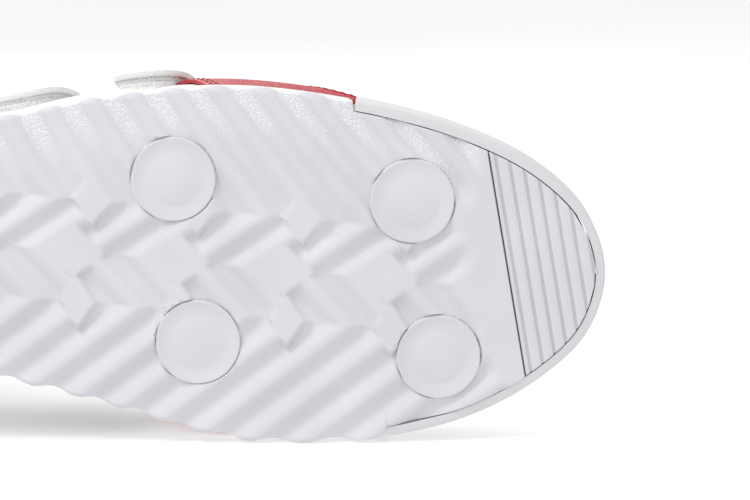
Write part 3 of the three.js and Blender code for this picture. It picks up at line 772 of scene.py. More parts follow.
def make_pod():
    """One pod: a lens-shaped dome, a stepped rim and a straight wall, spun round its axis."""
    dome = POD_RADIUS * 0.62
    rise = chosen("pod_dome")
    profile = [(dome * k / 10, rise * 0.92 * (k / 10) ** 2.2) for k in range(11)]
    profile += [(dome + 0.35, rise + 0.02), (dome + 0.9, rise - 0.03), (POD_RADIUS - 1.2, rise - 0.06)]
    profile += [(POD_RADIUS - 0.75, rise - 0.3), (POD_RADIUS - 0.3, rise - 0.28)]
    profile += [(POD_RADIUS - 0.05, rise - 0.05), (POD_RADIUS, rise + 0.35)]
    profile += [(POD_RADIUS, POD_HEIGHT), (0, POD_HEIGHT)]
    deselect()
    bpy.ops.mesh.primitive_circle_add(vertices=96, radius=profile[1][0] * MM, fill_type="TRIFAN",
                                      location=(0, 0, 0))
    obj = added("pod_pattern")
    points = corners(obj)
    middle = np.hypot(points[:, 0], points[:, 1]) < 1e-6
    points[:, 2] = np.where(middle, profile[0][1], profile[1][1]) * MM
    put(obj, points)
    pick(obj)
    bpy.ops.object.mode_set(mode="EDIT")
    bpy.ops.mesh.select_all(action="SELECT")
    bpy.ops.mesh.region_to_loop()
    for (r0, z0), (r1, z1) in zip(profile[1:-1], profile[2:]):
        bpy.ops.mesh.extrude_edges_move(TRANSFORM_OT_translate={"value": (0, 0, (z1 - z0) * MM)})
        size = max(r1, 0.4) / r0
        bpy.ops.transform.resize(value=(size, size, 1), center_override=(0, 0, 0))
    bpy.ops.mesh.edge_face_add()
    bpy.ops.object.mode_set(mode="OBJECT")
    close_out(obj)
    shade(obj, 40)
    return obj


def make_pods():
    """Six copies of one pod, each tilted with the toe spring."""
    pattern = make_pod()
    for name in PODS:
        x, y = pod_centre(name)
        slope = 2 * TOE_SPRING * max(0, x - SPRING_START) / (LENGTH - SPRING_START) ** 2
        angle = -math.atan(slope)
        pick(pattern)
        bpy.ops.object.duplicate()
        copy = added(name + "_rubber")
        points = corners(copy)
        turned = points.copy()
        turned[:, 0] = points[:, 0] * math.cos(angle) + points[:, 2] * math.sin(angle)
        turned[:, 2] = -points[:, 0] * math.sin(angle) + points[:, 2] * math.cos(angle)
        place = world([x, y, lift(x)])
        put(copy, turned + place)
        settle(copy, "shoe", "tread_pod", material("pod"), name)
    bpy.data.objects.remove(pattern)


def plate_rows():
    """Distances of the plate's rows from its rear edge, with the steps of each groove."""
    rows = [0.0, 0.25]
    for k in range(GROOVES):
        centre = GROOVE_FIRST + k * GROOVE_PITCH
        half = chosen("groove_width") / 2
        rows += [centre - half - 0.35, centre - half - 0.1, centre - half + 0.12, centre - 0.1,
                 centre + 0.1, centre + half - 0.12, centre + half + 0.1, centre + half + 0.35]
    last = GROOVE_FIRST + (GROOVES - 1) * GROOVE_PITCH + 0.8
    rows += [last + 0.1]
    return np.array(rows)


def plate_ends(offset, inset):
    """Where a slanted row of the plate meets the outline, on both sides."""
    def ahead(share, side):
        x, y = edge(share, side, inset)
        return x - PLATE_SLANT * y - PLATE_REAR - offset
    ends = []
    for side in (-1, 1):
        found = solve(partial(ahead, side=side), np.full_like(offset, 0.6), np.ones_like(offset))
        ends.append(edge(found, side, inset)[1])
    return ends


def plate_place(u, v):
    rows = plate_rows()
    offset = rows[np.clip(np.round(u * (len(rows) - 1)).astype(int), 0, len(rows) - 1)]
    low, high = plate_ends(offset, SHEET)
    ease = 0.5 - 0.5 * np.cos(np.pi * v)
    y = low + (high - low) * (0.6 * ease + 0.4 * v)
    x = PLATE_REAR + PLATE_SLANT * y + offset
    z = np.full_like(x, PLATE_DROP)
    for k in range(GROOVES):
        away = np.abs(offset - GROOVE_FIRST - k * GROOVE_PITCH)
        half = chosen("groove_width") / 2
        z = np.where(away < half + 0.05, PLATE_DROP + chosen("groove_depth"), z)
        z = np.where((away >= half + 0.05) & (away < half + 0.2), PLATE_DROP + 0.12, z)
    z = np.where(offset < 0.1, PLATE_DROP + 0.2, z)
    edge_drop = smooth(0.02, 0.0, v) + smooth(0.98, 1.0, v)
    return np.stack([x, y, z + 0.25 * edge_drop + lift(x)], axis=-1)


def make_toe_plate():
    """The plate under the toe with its slanted grooves."""
    obj = grid("toe_plate_rubber", len(plate_rows()) - 1, 90, plate_place)
    close_upwards(obj, lambda x: PLATE_DROP + PLATE_THICKNESS + 0 * x)
    shade(obj, 40)
    return settle(obj, "shoe", "sole_rubber", material("plate"), "toe_plate")


def share_at(x, side):
    """The station of one side's outline that lies at X."""
    return float(np.interp(x, SIDES[side][:, 0], SHARES))


def cap_ends(obj):
    """Closes the open ends of a swept section."""
    pick(obj)
    bpy.ops.object.mode_set(mode="EDIT")
    bpy.ops.mesh.select_all(action="DESELECT")
    bpy.ops.mesh.select_mode(type="EDGE")
    bpy.ops.mesh.select_non_manifold()
    bpy.ops.mesh.fill()
    bpy.ops.mesh.select_mode(type="VERT")
    bpy.ops.object.mode_set(mode="OBJECT")
    close_out(obj)


def sweep(name, columns, lateral, medial, rows, around_toe):
    """A section carried round the toe or the heel, from a lateral share of the outline to a medial one.

    rows(x) gives the section as (inset, height) pairs, in order round it."""
    reach = (1 - lateral, 1 - medial) if around_toe else (lateral, medial)
    count = len(rows(np.zeros(1)))

    def place(u, v):
        run = -reach[0] + (reach[0] + reach[1]) * u
        share = 1 - np.abs(run) if around_toe else np.abs(run)
        outer = run < 0
        x = np.where(outer, edge(share, -1, 0)[0], edge(share, 1, 0)[0])
        index = np.round(v * count).astype(int) % count
        section = np.array([[inset + 0 * x, height + 0 * x] for inset, height in rows(x)])
        inset, height = section[index, :, np.arange(len(x))].T
        lateral_edge, medial_edge = edge(share, -1, inset), edge(share, 1, inset)
        x = np.where(outer, lateral_edge[0], medial_edge[0])
        y = np.where(outer, lateral_edge[1], medial_edge[1])
        return np.stack([x, y, height + lift(x)], axis=-1)

    obj = grid(name, columns, count, place)
    weld(obj)
    return obj


def wall_rows(outer, inner, bottom, top, radius=0.7, groove=0.35):
    """Rows of a wall section with rounded outer corners and a shallow line round its middle."""
    def rows(x):
        low, high = bottom(x), top(x)
        middle = (low + high) / 2
        bevel = 0.3 * radius
        return [(outer, low + radius), (outer + bevel, low + bevel), (outer + radius, low),
                (inner, low), (inner, high), (outer + radius, high), (outer + bevel, high - bevel),
                (outer, high - radius), (outer, middle + 0.5), (outer + groove, middle),
                (outer, middle - 0.5)]
    return rows


def make_toe_bumper():
    """The rubber rim round the toe."""
    rows = wall_rows(0, RIM, lambda x: 1.0 + 0 * x, lambda x: bed(x) + 3, 0.8, 0)
    obj = sweep("toe_bumper_rim", 260, share_at(BUMPER_LATERAL, -1), share_at(BUMPER_MEDIAL, 1), rows, True)
    cap_ends(obj)
    shade(obj, 40)
    return settle(obj, "shoe", "foxing_rubber", material("rim"), "toe_bumper")


def make_heel_foxing():
    """The rubber band round the heel."""
    rows = wall_rows(0, RIM, lambda x: OUTSOLE_TOP + GAP + 0 * x, lambda x: bed(x) + 4)
    front = [share_at(HEEL_BAND_FRONT, side) for side in (-1, 1)]
    obj = sweep("heel_foxing_band", 180, *front, rows, False)
    cap_ends(obj)
    shade(obj, 40)
    return settle(obj, "shoe", "foxing_rubber", material("rim"), "heel_foxing")


def slab(name, inset, rows, columns=420):
    """A layer of the sole: its section closes over the spine. rows(x) gives (pull, extra inset, height).

    pull is how far a row has moved from the edge to the spine, from 0 to 1."""
    count = len(rows(np.zeros(1))) - 1

    def place(u, v):
        run = 2 * u - 1
        share = np.abs(run)
        outer = run < 0
        x0 = np.where(outer, edge(share, -1, 0)[0], edge(share, 1, 0)[0])
        index = np.round(v * count).astype(int)
        section = np.array([[value + 0 * x0 for value in line] for line in rows(x0)])
        pull, more, height = section[index, :, np.arange(len(x0))].T
        base = inset(x0)
        lateral_edge, medial_edge = edge(share, -1, base + more), edge(share, 1, base + more)
        x = np.where(outer, lateral_edge[0], medial_edge[0])
        y = np.where(outer, lateral_edge[1], medial_edge[1])
        core = np.clip((lateral_edge[0] + medial_edge[0]) / 2, 40, 250)
        x = x + (core - x) * pull
        y = y + (spine_y(core) - y) * pull
        return np.stack([x, y, height + lift(x)], axis=-1)

    obj = grid(name, columns, count, place)
    weld(obj, 2e-5)
    close_out(obj)
    shade(obj, 40)
    return obj


def band_inset(x):
    """The midsole stands back under the heel foxing and the toe bumper."""
    return 0.8 + (SHEET - 0.8) * np.maximum(smooth(52.6, 52.3, x), smooth(221.5, 221.9, x))


def make_midsole():
    """The foam layer with a shallow groove round its side."""
    low = OUTSOLE_TOP + GAP

    def rows(x):
        high = bed(x)
        middle = low + 0.55 * (high - low)
        return [(1, 0, low), (0.5, 0, low), (0, 0.9, low), (0, 0.2, low + 0.35), (0, 0, low + 1.0),
                (0, 0, middle - 0.8), (0, 0.6, middle - 0.3), (0, 0.6, middle + 0.3), (0, 0, middle + 0.8),
                (0, 0, high - 1.0), (0, 0.2, high - 0.35), (0, 0.9, high), (0.5, 0, high), (1, 0, high)]
    obj = slab("midsole_foam", band_inset, rows)
    return settle(obj, "shoe", "midsole_foam", material("midsole"), "midsole")


# ---- Stage ----
AIM = (79.9, -4.8)
FRAME_WIDTH = 217.5
CAMERA_AWAY = 1.0
CAMERA_TILT = 8.0
SENSOR = 36.0
WALL_Y = 0.0524
FLOOR_Z = -0.0005
PAPER_SIZE = 4
PAPER_GLOW = 0.12
SKY_STRENGTH = 0.85
# Name, place, target, power in watts, width and height.
LIGHTS = (
    ("key", (-0.45, -0.75, -0.42), (0.05, 0, 0.0), 2.4, (0.4, 0.3)),
    ("low_fill", (-0.3, -0.6, -1.1), (0.05, 0, 0), 0.8, (0.6, 0.5)),
    ("overhead", (-0.35, -0.6, 0.9), (0, 0, 0.05), 4.0, (0.6, 0.5)),
    ("rear_fill", (0.4, 0.9, 0.7), (0, 0, 0.05), 1.6, (0.7, 0.5)),
)


def light(name, location, target, energy, size):
    """A soft rectangular lamp that looks at a target."""
    deselect()
    bpy.ops.object.light_add(type="AREA", location=location)
    lamp = bpy.context.object
    lamp.name = name
    lamp.data.energy = energy
    lamp.data.shape = "RECTANGLE"
    lamp.data.size, lamp.data.size_y = size
    lamp.rotation_mode = "QUATERNION"
    lamp.rotation_quaternion = (Vector(location) - Vector(target)).to_track_quat("Z", "Y")


def stage_material(name, tone, roughness, second_tone):
    """Pale seamless paper that is seen from its front only."""
    f = Finish(name, roughness, 0.1)
    soft = f.noise(3, 2)
    f.colour(f.mix(f.ranged(soft, 0.3, 0.7), hex_colour(tone), hex_colour(second_tone)))
    f.shader.inputs["Emission Color"].default_value = (1, 1, 1, 1)
    f.shader.inputs["Emission Strength"].default_value = PAPER_GLOW
    clear = f.nodes.new("ShaderNodeBsdfTransparent").outputs["BSDF"]
    back = f.add("ShaderNodeNewGeometry").outputs["Backfacing"]
    choice = f.nodes.new("ShaderNodeMixShader")
    f.links.new(back, choice.inputs[0])
    f.links.new(f.shader.outputs["BSDF"], choice.inputs[1])
    f.links.new(clear, choice.inputs[2])
    f.links.new(choice.outputs["Shader"], f.nodes["Material Output"].inputs["Surface"])
    return f.material


def stage_plane(name, location, rotation, paper):
    """A sheet of paper that only the camera sees, so it neither shades nor lights the shoe."""
    deselect()
    bpy.ops.mesh.primitive_plane_add(size=PAPER_SIZE, location=location, rotation=rotation)
    plane = added(name)
    bpy.ops.object.transform_apply(location=True, rotation=True, scale=True)
    plane.data.materials.append(paper)
    for ray in ("diffuse", "glossy", "transmission", "shadow"):
        setattr(plane, "visible_" + ray, False)


def make_stage():
    """A pale floor, a pale wall beside the shoe, soft studio lights and the camera."""
    floor_paper = stage_material("Floor paper", "d2d2d4", 0.8, "cdcdcf")
    stage_plane("floor", (0, 0, FLOOR_Z), (0, 0, 0), floor_paper)
    wall_paper = stage_material("Wall paper", "fcfcfc", 0.9, "f8f8f8")
    stage_plane("wall", (0, WALL_Y, 0), (HALF, 0, 0), wall_paper)
    world_look = bpy.data.worlds.new("Studio")
    world_look.use_nodes = True
    back = world_look.node_tree.nodes["Background"]
    back.inputs["Color"].default_value = (1, 1, 1, 1)
    back.inputs["Strength"].default_value = SKY_STRENGTH
    bpy.context.scene.world = world_look
    for name, location, target, energy, size in LIGHTS:
        light(name, location, target, energy, size)
    tilt = math.radians(CAMERA_TILT)
    aim = Vector((AIM[0] * MM, AIM[1] * MM, 0))
    away = Vector((0, -math.sin(tilt), -math.cos(tilt))) * CAMERA_AWAY
    deselect()
    bpy.ops.object.camera_add(location=aim + away)
    camera = bpy.context.object
    camera.rotation_mode = "QUATERNION"
    turn = away.to_track_quat("Z", "Y").to_matrix()
    up = Vector((0, -math.cos(tilt), math.sin(tilt)))
    back_axis = away.normalized()
    right = up.cross(back_axis).normalized()
    turn.col[0], turn.col[1], turn.col[2] = right, back_axis.cross(right), back_axis
    camera.rotation_quaternion = turn.to_quaternion()
    camera.data.lens = SENSOR * CAMERA_AWAY / (FRAME_WIDTH * MM)
    camera.data.sensor_width = SENSOR
    camera.data.clip_start, camera.data.clip_end = 0.01, 20
    bpy.context.scene.camera = camera
    bpy.context.scene.view_settings.view_transform = "Standard"


# ---- Upper: where each piece lies on the form ----
UPPER_THICKNESS = 1.6
SADDLE_THICKNESS = 1.25
HEEL_TAB_THICKNESS = 1.2
FACING_THICKNESS = 1.4
STRAP_THICKNESS = 1.8
ANCHOR_THICKNESS = 2.2
HOOK_THICKNESS = 1.2
LOOP_THICKNESS = 1.5
LINING_THICKNESS = 1.0
STIFFENER_THICKNESS = 1.1
LINING_FRONT = 162.0
VAMP_LINING_REAR = 162.3
COLLAR_FRONT = 101.0
COUNTER_FRONT = 72.0
PUFF_REAR = 252.0
STIFFENER_INSET = 1.9
LINING_INSET = 3.3
TONGUE_INSET = 4.6
THROAT_FRONT = 187.0
THROAT_HALF = 9.0
THROAT_MARGIN = 1.5
FACING_HALF = 20.0
STRAPS = {"front": (170.0, 50.0, 38.0, 62.0), "rear": (134.0, 60.0, 44.0, 70.0)}
STRAP_HALF = 12.0
STRAP_LEAN = 0.32
STRAP_ROOT = 0.985
ANCHOR_START = 0.86
QUARTER_UNDERLAP = 3.0
QUARTER_INSET = -0.35
OVERLAY_INSET = -1.5
FACING_INSET = -1.75
LOOP_INSET = -1.85
ANCHOR_INSET = -2.85
HOOK_INSET = -3.08
STRAP_INSET = -4.9
COLLAR_TABLE = np.linspace(0, 1, 700)


def bezier(p0, p1, p2, p3, t):
    """Points of a cubic curve."""
    t = np.asarray(t, float)[..., None]
    a, b, c, d = (np.array(p, float) for p in (p0, p1, p2, p3))
    return a * (1 - t) ** 3 + 3 * b * t * (1 - t) ** 2 + 3 * c * t**2 * (1 - t) + d * t**3


def collar_line():
    """The collar's edge seen from the side, from the heel to the throat."""
    steps = np.linspace(0, 1, 60)
    heel = bezier((0, 84), (22, 84), (32, 71), (58, 71), steps)
    front = bezier((58, 71), (92, 71), (104, 92), (112, 130), steps)
    return np.vstack([heel, front])


COLLAR = collar_line()


def collar_height(x):
    """Height of the collar's edge seen from the side."""
    return np.interp(x, COLLAR[:, 0], COLLAR[:, 1], right=400)


def throat_distance(x, y):
    """Plan distance from the middle line of the throat."""
    beyond = np.maximum(0, x - THROAT_FRONT)
    return np.where(x < 60, 1e3, np.hypot(beyond, y - spine_y(np.minimum(x, THROAT_FRONT))))


def top_turns(side, inset, drop=0.0, throat=THROAT_HALF):
    """For each station, how far up the form the quarter reaches before the collar or the throat cuts it."""
    angles = np.linspace(0.01, HALF, 420)
    share, angle = np.meshgrid(COLLAR_TABLE, angles, indexing="ij")
    points = skin(share, turned(angle, side), inset)
    inside = collar_height(points[..., 0]) - drop - points[..., 2]
    inside = np.minimum(inside, throat_distance(points[..., 0], points[..., 1]) - throat)
    out = inside < 0
    first = np.where(out.any(axis=1), out.argmax(axis=1), len(angles) - 1)
    before = np.maximum(first - 1, 0)
    rows = np.arange(len(COLLAR_TABLE))
    a, b = inside[rows, before], inside[rows, first]
    part = np.where((a > 0) & (b < 0), a / np.maximum(a - b, 1e-9), 1.0)
    return angles[before] + (angles[first] - angles[before]) * part


def seam_x(z):
    """Where the vamp's rear edge lies at each height."""
    return np.interp(z, [0, 23, 37, 55, 130], [156, 156, 163, 182, 192])


def share_of(function, turn, inset, low=0.0, high=1.0):
    """The station at which a function of the point, rising along the shoe, passes zero."""
    turn = np.asarray(turn, float)
    first, last = np.full(turn.shape, low), np.full(turn.shape, high)
    return solve(lambda s: function(skin(s, turn, inset)), first, last)


def seam_share(turn, inset, shift=0.0):
    """The station of the vamp's rear seam."""
    return share_of(lambda p: p[..., 0] - seam_x(p[..., 2]) - shift, turn, inset, 0.3, 0.9)


TOPS = {side: top_turns(side, 0) for side in (-1, 1)}
LINING_TOPS = {side: top_turns(side, LINING_INSET, 0.6) for side in (-1, 1)}


def quarter_at(side, u, v, inset):
    """A quarter: u from the heel seam to the vamp seam, v from the sole to the collar and throat edge."""
    share = u * 0.6
    for _ in range(7):
        turn = turned(np.interp(share, COLLAR_TABLE, TOPS[side]) * v, side)
        share = u * seam_share(turn, inset, QUARTER_UNDERLAP)
    return skin(share, turn, inset)


def clear_of_throat(rear, turn, inset):
    """Moves a rear edge forward to the front of the throat, where the throat is in its way."""
    def beyond(points):
        past = throat_distance(points[..., 0], points[..., 1]) - THROAT_HALF - THROAT_MARGIN
        return np.where(points[..., 0] > THROAT_FRONT - 6, past, -1.0)
    ahead = share_of(beyond, turn, inset, 0.5, 0.99)
    near = (np.abs(turn - HALF) < 0.5) & (ahead < 0.97)
    return np.where(near, np.maximum(rear, ahead), rear)


def vamp_at(u, v, inset):
    """The vamp: u from its rear seam to the toe tip, v from the lateral to the medial edge."""
    turn = math.pi * v
    rear = clear_of_throat(seam_share(turn, inset), turn, inset)
    return skin(rear + (1 - rear) * u, turn, inset)


def wall_angle(share, side, z, inset):
    """How far up the form a side wall reaches a height."""
    lateral, medial = edge(share, -1, SHEET + inset), edge(share, 1, SHEET + inset)
    edge_x = (lateral if side < 0 else medial)[0]
    crest_x = np.clip((lateral[0] + medial[0]) / 2, SPINE_HEEL, SPINE_TOE)
    base = bed(edge_x) + GAP + lift(edge_x)
    crest = ridge(crest_x) + lift(crest_x) - inset
    return np.arcsin(np.clip((z - base) / (crest - base), 0, 1) ** (UP_POWER / 2))


def wall_point(share, side, z, inset):
    """The point of a side wall at a station and a height."""
    return skin(share, turned(wall_angle(share, side, z, inset), side), inset)


def side_place(x, z, side, inset):
    """(share, angle) of the point of one side wall seen at x, z from the side."""
    x, z = np.broadcast_arrays(np.asarray(x, float), np.asarray(z, float))
    share = solve(lambda s: wall_point(s, side, z, inset)[..., 0] - x, np.zeros(x.shape), np.ones(x.shape))
    return share, wall_angle(share, side, z, inset)


def round_heel(u, place):
    """A piece that runs from the lateral side round the heel.

    place(side, reach) gives one side, with a reach of 0 at the heel and 1 at the piece's front."""
    signed = 2 * u - 1
    lateral, medial = (place(side, np.abs(signed)) for side in (-1, 1))
    return np.where((signed < 0)[:, None], lateral, medial)


def panel_edges(side, inset, reach):
    """The saddle's rear and front edges as (share, angle) tables from the sole up to the facing."""
    steps = np.linspace(0, 1, 160)
    rear = bezier((180, 15.8), (168, 50), (132, 88), (116, 118), steps)
    tip = bezier((232, 20.8), (205, 26.8), (190, 41.8), (178, 90), steps)
    edges = []
    for line in (rear, tip):
        share, angle = side_place(line[:, 0], line[:, 1], side, inset)
        points = skin(share, turned(angle, side), inset)
        inside = (throat_distance(points[:, 0], points[:, 1]) > reach) & (angle < 1.5)
        inside &= points[:, 2] < collar_height(points[:, 0])
        last = len(steps) - 1 if inside.all() else max(4, int(np.argmin(inside)))
        along = np.linspace(0, last, 160)
        edges.append((np.interp(along, np.arange(160), share), np.interp(along, np.arange(160), angle)))
    return edges


PANEL_EDGES = {side: panel_edges(side, -1.0, FACING_HALF - 3) for side in (-1, 1)}


def panel_at(side, u, v, inset):
    """The red saddle: u from its rear to its front edge, v from the sole to the facing."""
    (rear_share, rear_angle), (tip_share, tip_angle) = PANEL_EDGES[side]
    steps = np.linspace(0, 1, 160)
    share = np.interp(v, steps, rear_share) * (1 - u) + np.interp(v, steps, tip_share) * u
    angle = np.interp(v, steps, rear_angle) * (1 - u) + np.interp(v, steps, tip_angle) * u
    return skin(share, turned(angle, side), inset)


def plan_place(x, y, inset):
    """The point of the form straight above a place in plan."""
    x, y = np.broadcast_arrays(np.asarray(x, float), np.asarray(y, float))

    def turn_at(share):
        lateral, medial = edge(share, -1, SHEET + inset), edge(share, 1, SHEET + inset)
        crest_x = np.clip((lateral[0] + medial[0]) / 2, SPINE_HEEL, SPINE_TOE)
        centre = spine_y(crest_x)
        outer = y <= centre
        edge_y = np.where(outer, lateral[1], medial[1])
        across = np.clip((y - centre) / np.where(np.abs(edge_y - centre) < 1e-6, 1, edge_y - centre), 0, 1)
        angle = np.arccos(across ** (ACROSS_POWER / 2))
        return np.where(outer, angle, math.pi - angle)
    share = solve(lambda s: skin(s, turn_at(s), inset)[..., 0] - x, np.zeros(x.shape), np.ones(x.shape))
    return skin(share, turn_at(share), inset)


def throat_run(u, distance, start_x):
    """A line round the throat at a distance: lateral side forwards, round the front, medial side back."""
    straight = THROAT_FRONT - start_x
    arc = math.pi * distance
    run = u * (2 * straight + arc)
    x1 = start_x + np.minimum(run, straight)
    angle = np.clip((run - straight) / distance, 0, math.pi) - HALF
    x3 = THROAT_FRONT - np.clip(run - straight - arc, 0, None)
    in_arc = (run > straight) & (run <= straight + arc)
    x = np.where(run <= straight, x1, np.where(in_arc, THROAT_FRONT + distance * np.cos(angle), x3))
    off = np.where(in_arc, distance * np.sin(angle), distance)
    return x, spine_y(np.minimum(x, THROAT_FRONT)) + np.where(run <= straight, -distance, off)


def facing_start(distance, side):
    """How far back the facing runs before the collar cuts it."""
    def outside(x):
        points = plan_place(x, spine_y(x) + side * distance, -1.0)
        return collar_height(points[..., 0]) - points[..., 2]
    low = np.full(np.shape(distance), 70.0)
    return solve(outside, low, low + 90)


def facing_at(u, v, inset):
    """The facing round the throat: u along it, v from its inner to its outer edge."""
    distance = THROAT_HALF + (FACING_HALF - THROAT_HALF) * v
    table = np.linspace(THROAT_HALF, FACING_HALF, 12)
    starts = np.minimum(facing_start(table, -1), facing_start(table, 1)) + 0.4
    x, y = throat_run(u, distance, np.interp(distance, table, starts))
    return plan_place(x, y, inset)


def strap_axes(place):
    """Where a strap crosses the ridge and its directions along and across, seen from the side."""
    cross_x = STRAPS[place][0]
    size = math.hypot(STRAP_LEAN, 1)
    along = (-STRAP_LEAN / size, -1 / size)
    across = (1 / size, -STRAP_LEAN / size)
    return cross_x, float(ridge(cross_x)), along, across


def strap_share(place, w, turn, inset):
    """The stations of a line that runs along a strap, w to the side of its middle."""
    cross_x, cross_z, _, across = strap_axes(place)

    def sideways(points):
        return (points[..., 0] - cross_x) * across[0] + (points[..., 2] - cross_z) * across[1] - w
    return share_of(sideways, turn, inset, 0.15, 0.95)


def strap_angle(place, side, w, inset, margin):
    """How far up one side of the form a strap's end lies, on a line w to the side of its middle."""
    cross_x, cross_z, along, _ = strap_axes(place)
    _, root, end, _ = STRAPS[place]
    angles = np.linspace(0.02, HALF, 120)
    turn = turned(angles, side)
    points = skin(strap_share(place, w, turn, inset), turn, inset)
    run = (points[:, 0] - cross_x) * along[0] + (points[:, 2] - cross_z) * along[1]
    full = (cross_z - (end if side < 0 else root) - margin) / -along[1]
    if side < 0:
        half = STRAP_HALF - margin
        full -= half - math.sqrt(max(half * half - w * w, 0))
    return np.interp(full, run[::-1], angles[::-1])


def cut_angle(place, w, height, inset):
    """How far up the lateral side a line along a strap passes a height."""
    angles = np.linspace(0.02, HALF, 120)
    points = skin(strap_share(place, w, angles, inset), angles, inset)
    return np.interp(height, points[:, 2], angles)


def strap_at(place, u, v, inset, margin=0.0, cut_height=None):
    """A strap: u from its round lateral end over the instep to its sewn medial root, v across it.

    A cut height ends it on the lateral side, at that height above the ground line."""
    half = STRAP_HALF - margin
    widths = np.linspace(-half, half, 31)
    w = -half + 2 * half * v
    first = np.interp(w, widths, [strap_angle(place, -1, x, inset, margin) for x in widths])
    if cut_height is None:
        last = math.pi - np.interp(w, widths, [strap_angle(place, 1, x, inset, margin) for x in widths])
    else:
        last = np.interp(w, widths, [cut_angle(place, x, cut_height, inset) for x in widths])
    turn = first + (last - first) * u
    return skin(strap_share(place, w, turn, inset), turn, inset)


HEEL_TAB_FOOT = HEEL_BED + 5.2
HEEL_TAB_TOP = 83.2
HEEL_TAB_REACH = 15.0


def heel_tab_at(u, v, inset):
    """The tab over the heel seam: u from the lateral side round the heel, v up to the collar."""
    z = HEEL_TAB_FOOT + (HEEL_TAB_TOP - HEEL_TAB_FOOT) * v

    def place(side, reach):
        share = side_place(HEEL_TAB_REACH + 0 * z, z, side, inset)[0]
        return wall_point(share * reach, side, z, inset)
    return round_heel(u, place)


# ---- Stitching ----
def stitch_pattern():
    """One stitch: a short fat loop of thread, a few faces only."""
    deselect()
    bpy.ops.mesh.primitive_uv_sphere_add(segments=6, ring_count=4, radius=0.5)
    obj = added("stitch_pattern")
    points = corners(obj)
    faces = [tuple(face.vertices) for face in obj.data.polygons]
    bpy.data.objects.remove(obj)
    return points, faces


def stitches(name, lines, thread_key, body, slot):
    """Rows of stitches along lines on the surface. A line gives points and the same points further out."""
    pattern, pattern_faces = stitch_pattern()
    length, pitch, width = chosen("stitch_length"), chosen("stitch_pitch"), chosen("stitch_width")
    points_all, faces_all = [], []
    for surface, outside in lines:
        steps = np.r_[0, np.cumsum(np.linalg.norm(np.diff(surface, axis=0), axis=1))]
        count = int((steps[-1] - 1.0) // pitch)
        for k in range(count):
            middle = 1.0 + pitch * (k + 0.5)
            ends = [np.array([np.interp(middle + d, steps, surface[:, c]) for c in range(3)])
                    for d in (-length / 2, length / 2)]
            out = np.array([np.interp(middle, steps, (outside - surface)[:, c]) for c in range(3)])
            along = ends[1] - ends[0]
            out = out / np.linalg.norm(out)
            side = np.cross(along, out)
            side = side / max(np.linalg.norm(side), 1e-9)
            centre = (ends[0] + ends[1]) / 2
            placed = (centre + pattern[:, :1] * along + pattern[:, 1:2] * side * width
                      + pattern[:, 2:3] * out * width * 0.8)
            base = len(points_all) * len(pattern)
            points_all.append(placed)
            faces_all += [tuple(base + i for i in face) for face in pattern_faces]
    mesh = bpy.data.meshes.new(name)
    mesh.from_pydata(world(np.vstack(points_all)).tolist(), [], faces_all)
    obj = bpy.data.objects.new(name, mesh)
    bpy.context.scene.collection.objects.link(obj)
    close_out(obj)
    shade(obj, 60)
    return settle(obj, body, slot, material(thread_key))


def row(place, us, vs, inset):
    """A stitch line: the surface and a line just outside it."""
    us, vs = np.broadcast_arrays(np.asarray(us, float), np.asarray(vs, float))
    return place(us, vs, inset - 0.05), place(us, vs, inset - 1.0)


def beside(place, fixed_u, distance, inset, across_u=True, low=0.03, high=0.97, count=120):
    """A stitch line at a distance from one edge of a piece. fixed_u is 0 or 1, the edge it follows."""
    run = np.linspace(low, high, count)
    zero, one = np.zeros(count), np.ones(count)
    if across_u:
        width = np.linalg.norm(place(one, run, inset) - place(zero, run, inset), axis=1)
        share = distance / np.maximum(width, 1)
        return row(place, share if fixed_u == 0 else 1 - share, run, inset)
    width = np.linalg.norm(place(run, one, inset) - place(run, zero, inset), axis=1)
    share = distance / np.maximum(width, 1)
    return row(place, run, share if fixed_u == 0 else 1 - share, inset)


# ---- Upper pieces ----
def make_vamp():
    """The leather over the toes."""
    obj = sheet_piece("vamp_leather", 110, 120, lambda u, v: vamp_at(u, v, 0.05), UPPER_THICKNESS)
    return settle(obj, "shoe", "white_leather", material("vamp"), "vamp")


def make_quarters():
    """The two side leathers with their seam and collar stitching."""
    for side, name, slot, key in ((-1, "quarter_lateral", "white_leather", "white"),
                                  (1, "quarter_medial", "grey_leather", "grey")):
        place = partial(quarter_at, side)
        obj = sheet_piece(name + "_leather", 150, 64, partial(place, inset=QUARTER_INSET), UPPER_THICKNESS)
        settle(obj, "shoe", slot, material(key), name)
        lines = [beside(place, 1, d, QUARTER_INSET, high=0.8) for d in (2.2, 4.2)]
        lines.append(beside(place, 1, 2.6, QUARTER_INSET, across_u=False, low=0.06, high=0.86, count=260))
        stitches(name + "_stitches", lines, "white_thread", "shoe", slot)


def make_panels():
    """The red saddle on each side."""
    for side, name in ((-1, "side_panel_lateral"), (1, "side_panel_medial")):
        place = partial(panel_at, side)
        obj = sheet_piece(name + "_leather", 60, 90, partial(place, inset=OVERLAY_INSET), SADDLE_THICKNESS)
        settle(obj, "shoe", "red_leather", material("red"), name)
        lines = [beside(place, edge_u, d, OVERLAY_INSET, high=0.9) for edge_u in (0, 1) for d in (1.9, 3.7)]
        stitches(name + "_stitches", lines, "red_thread", "shoe", "red_leather")


def make_heel_tab():
    """The red tab over the heel seam."""
    place = partial(heel_tab_at, inset=OVERLAY_INSET)
    obj = sheet_piece("heel_tab_leather", 60, 60, place, HEEL_TAB_THICKNESS)
    settle(obj, "shoe", "red_leather", material("red"), "heel_tab")
    lines = [beside(heel_tab_at, edge_u, 2.0, OVERLAY_INSET) for edge_u in (0, 1)]
    stitches("heel_tab_stitches", lines, "red_thread", "shoe", "red_leather")


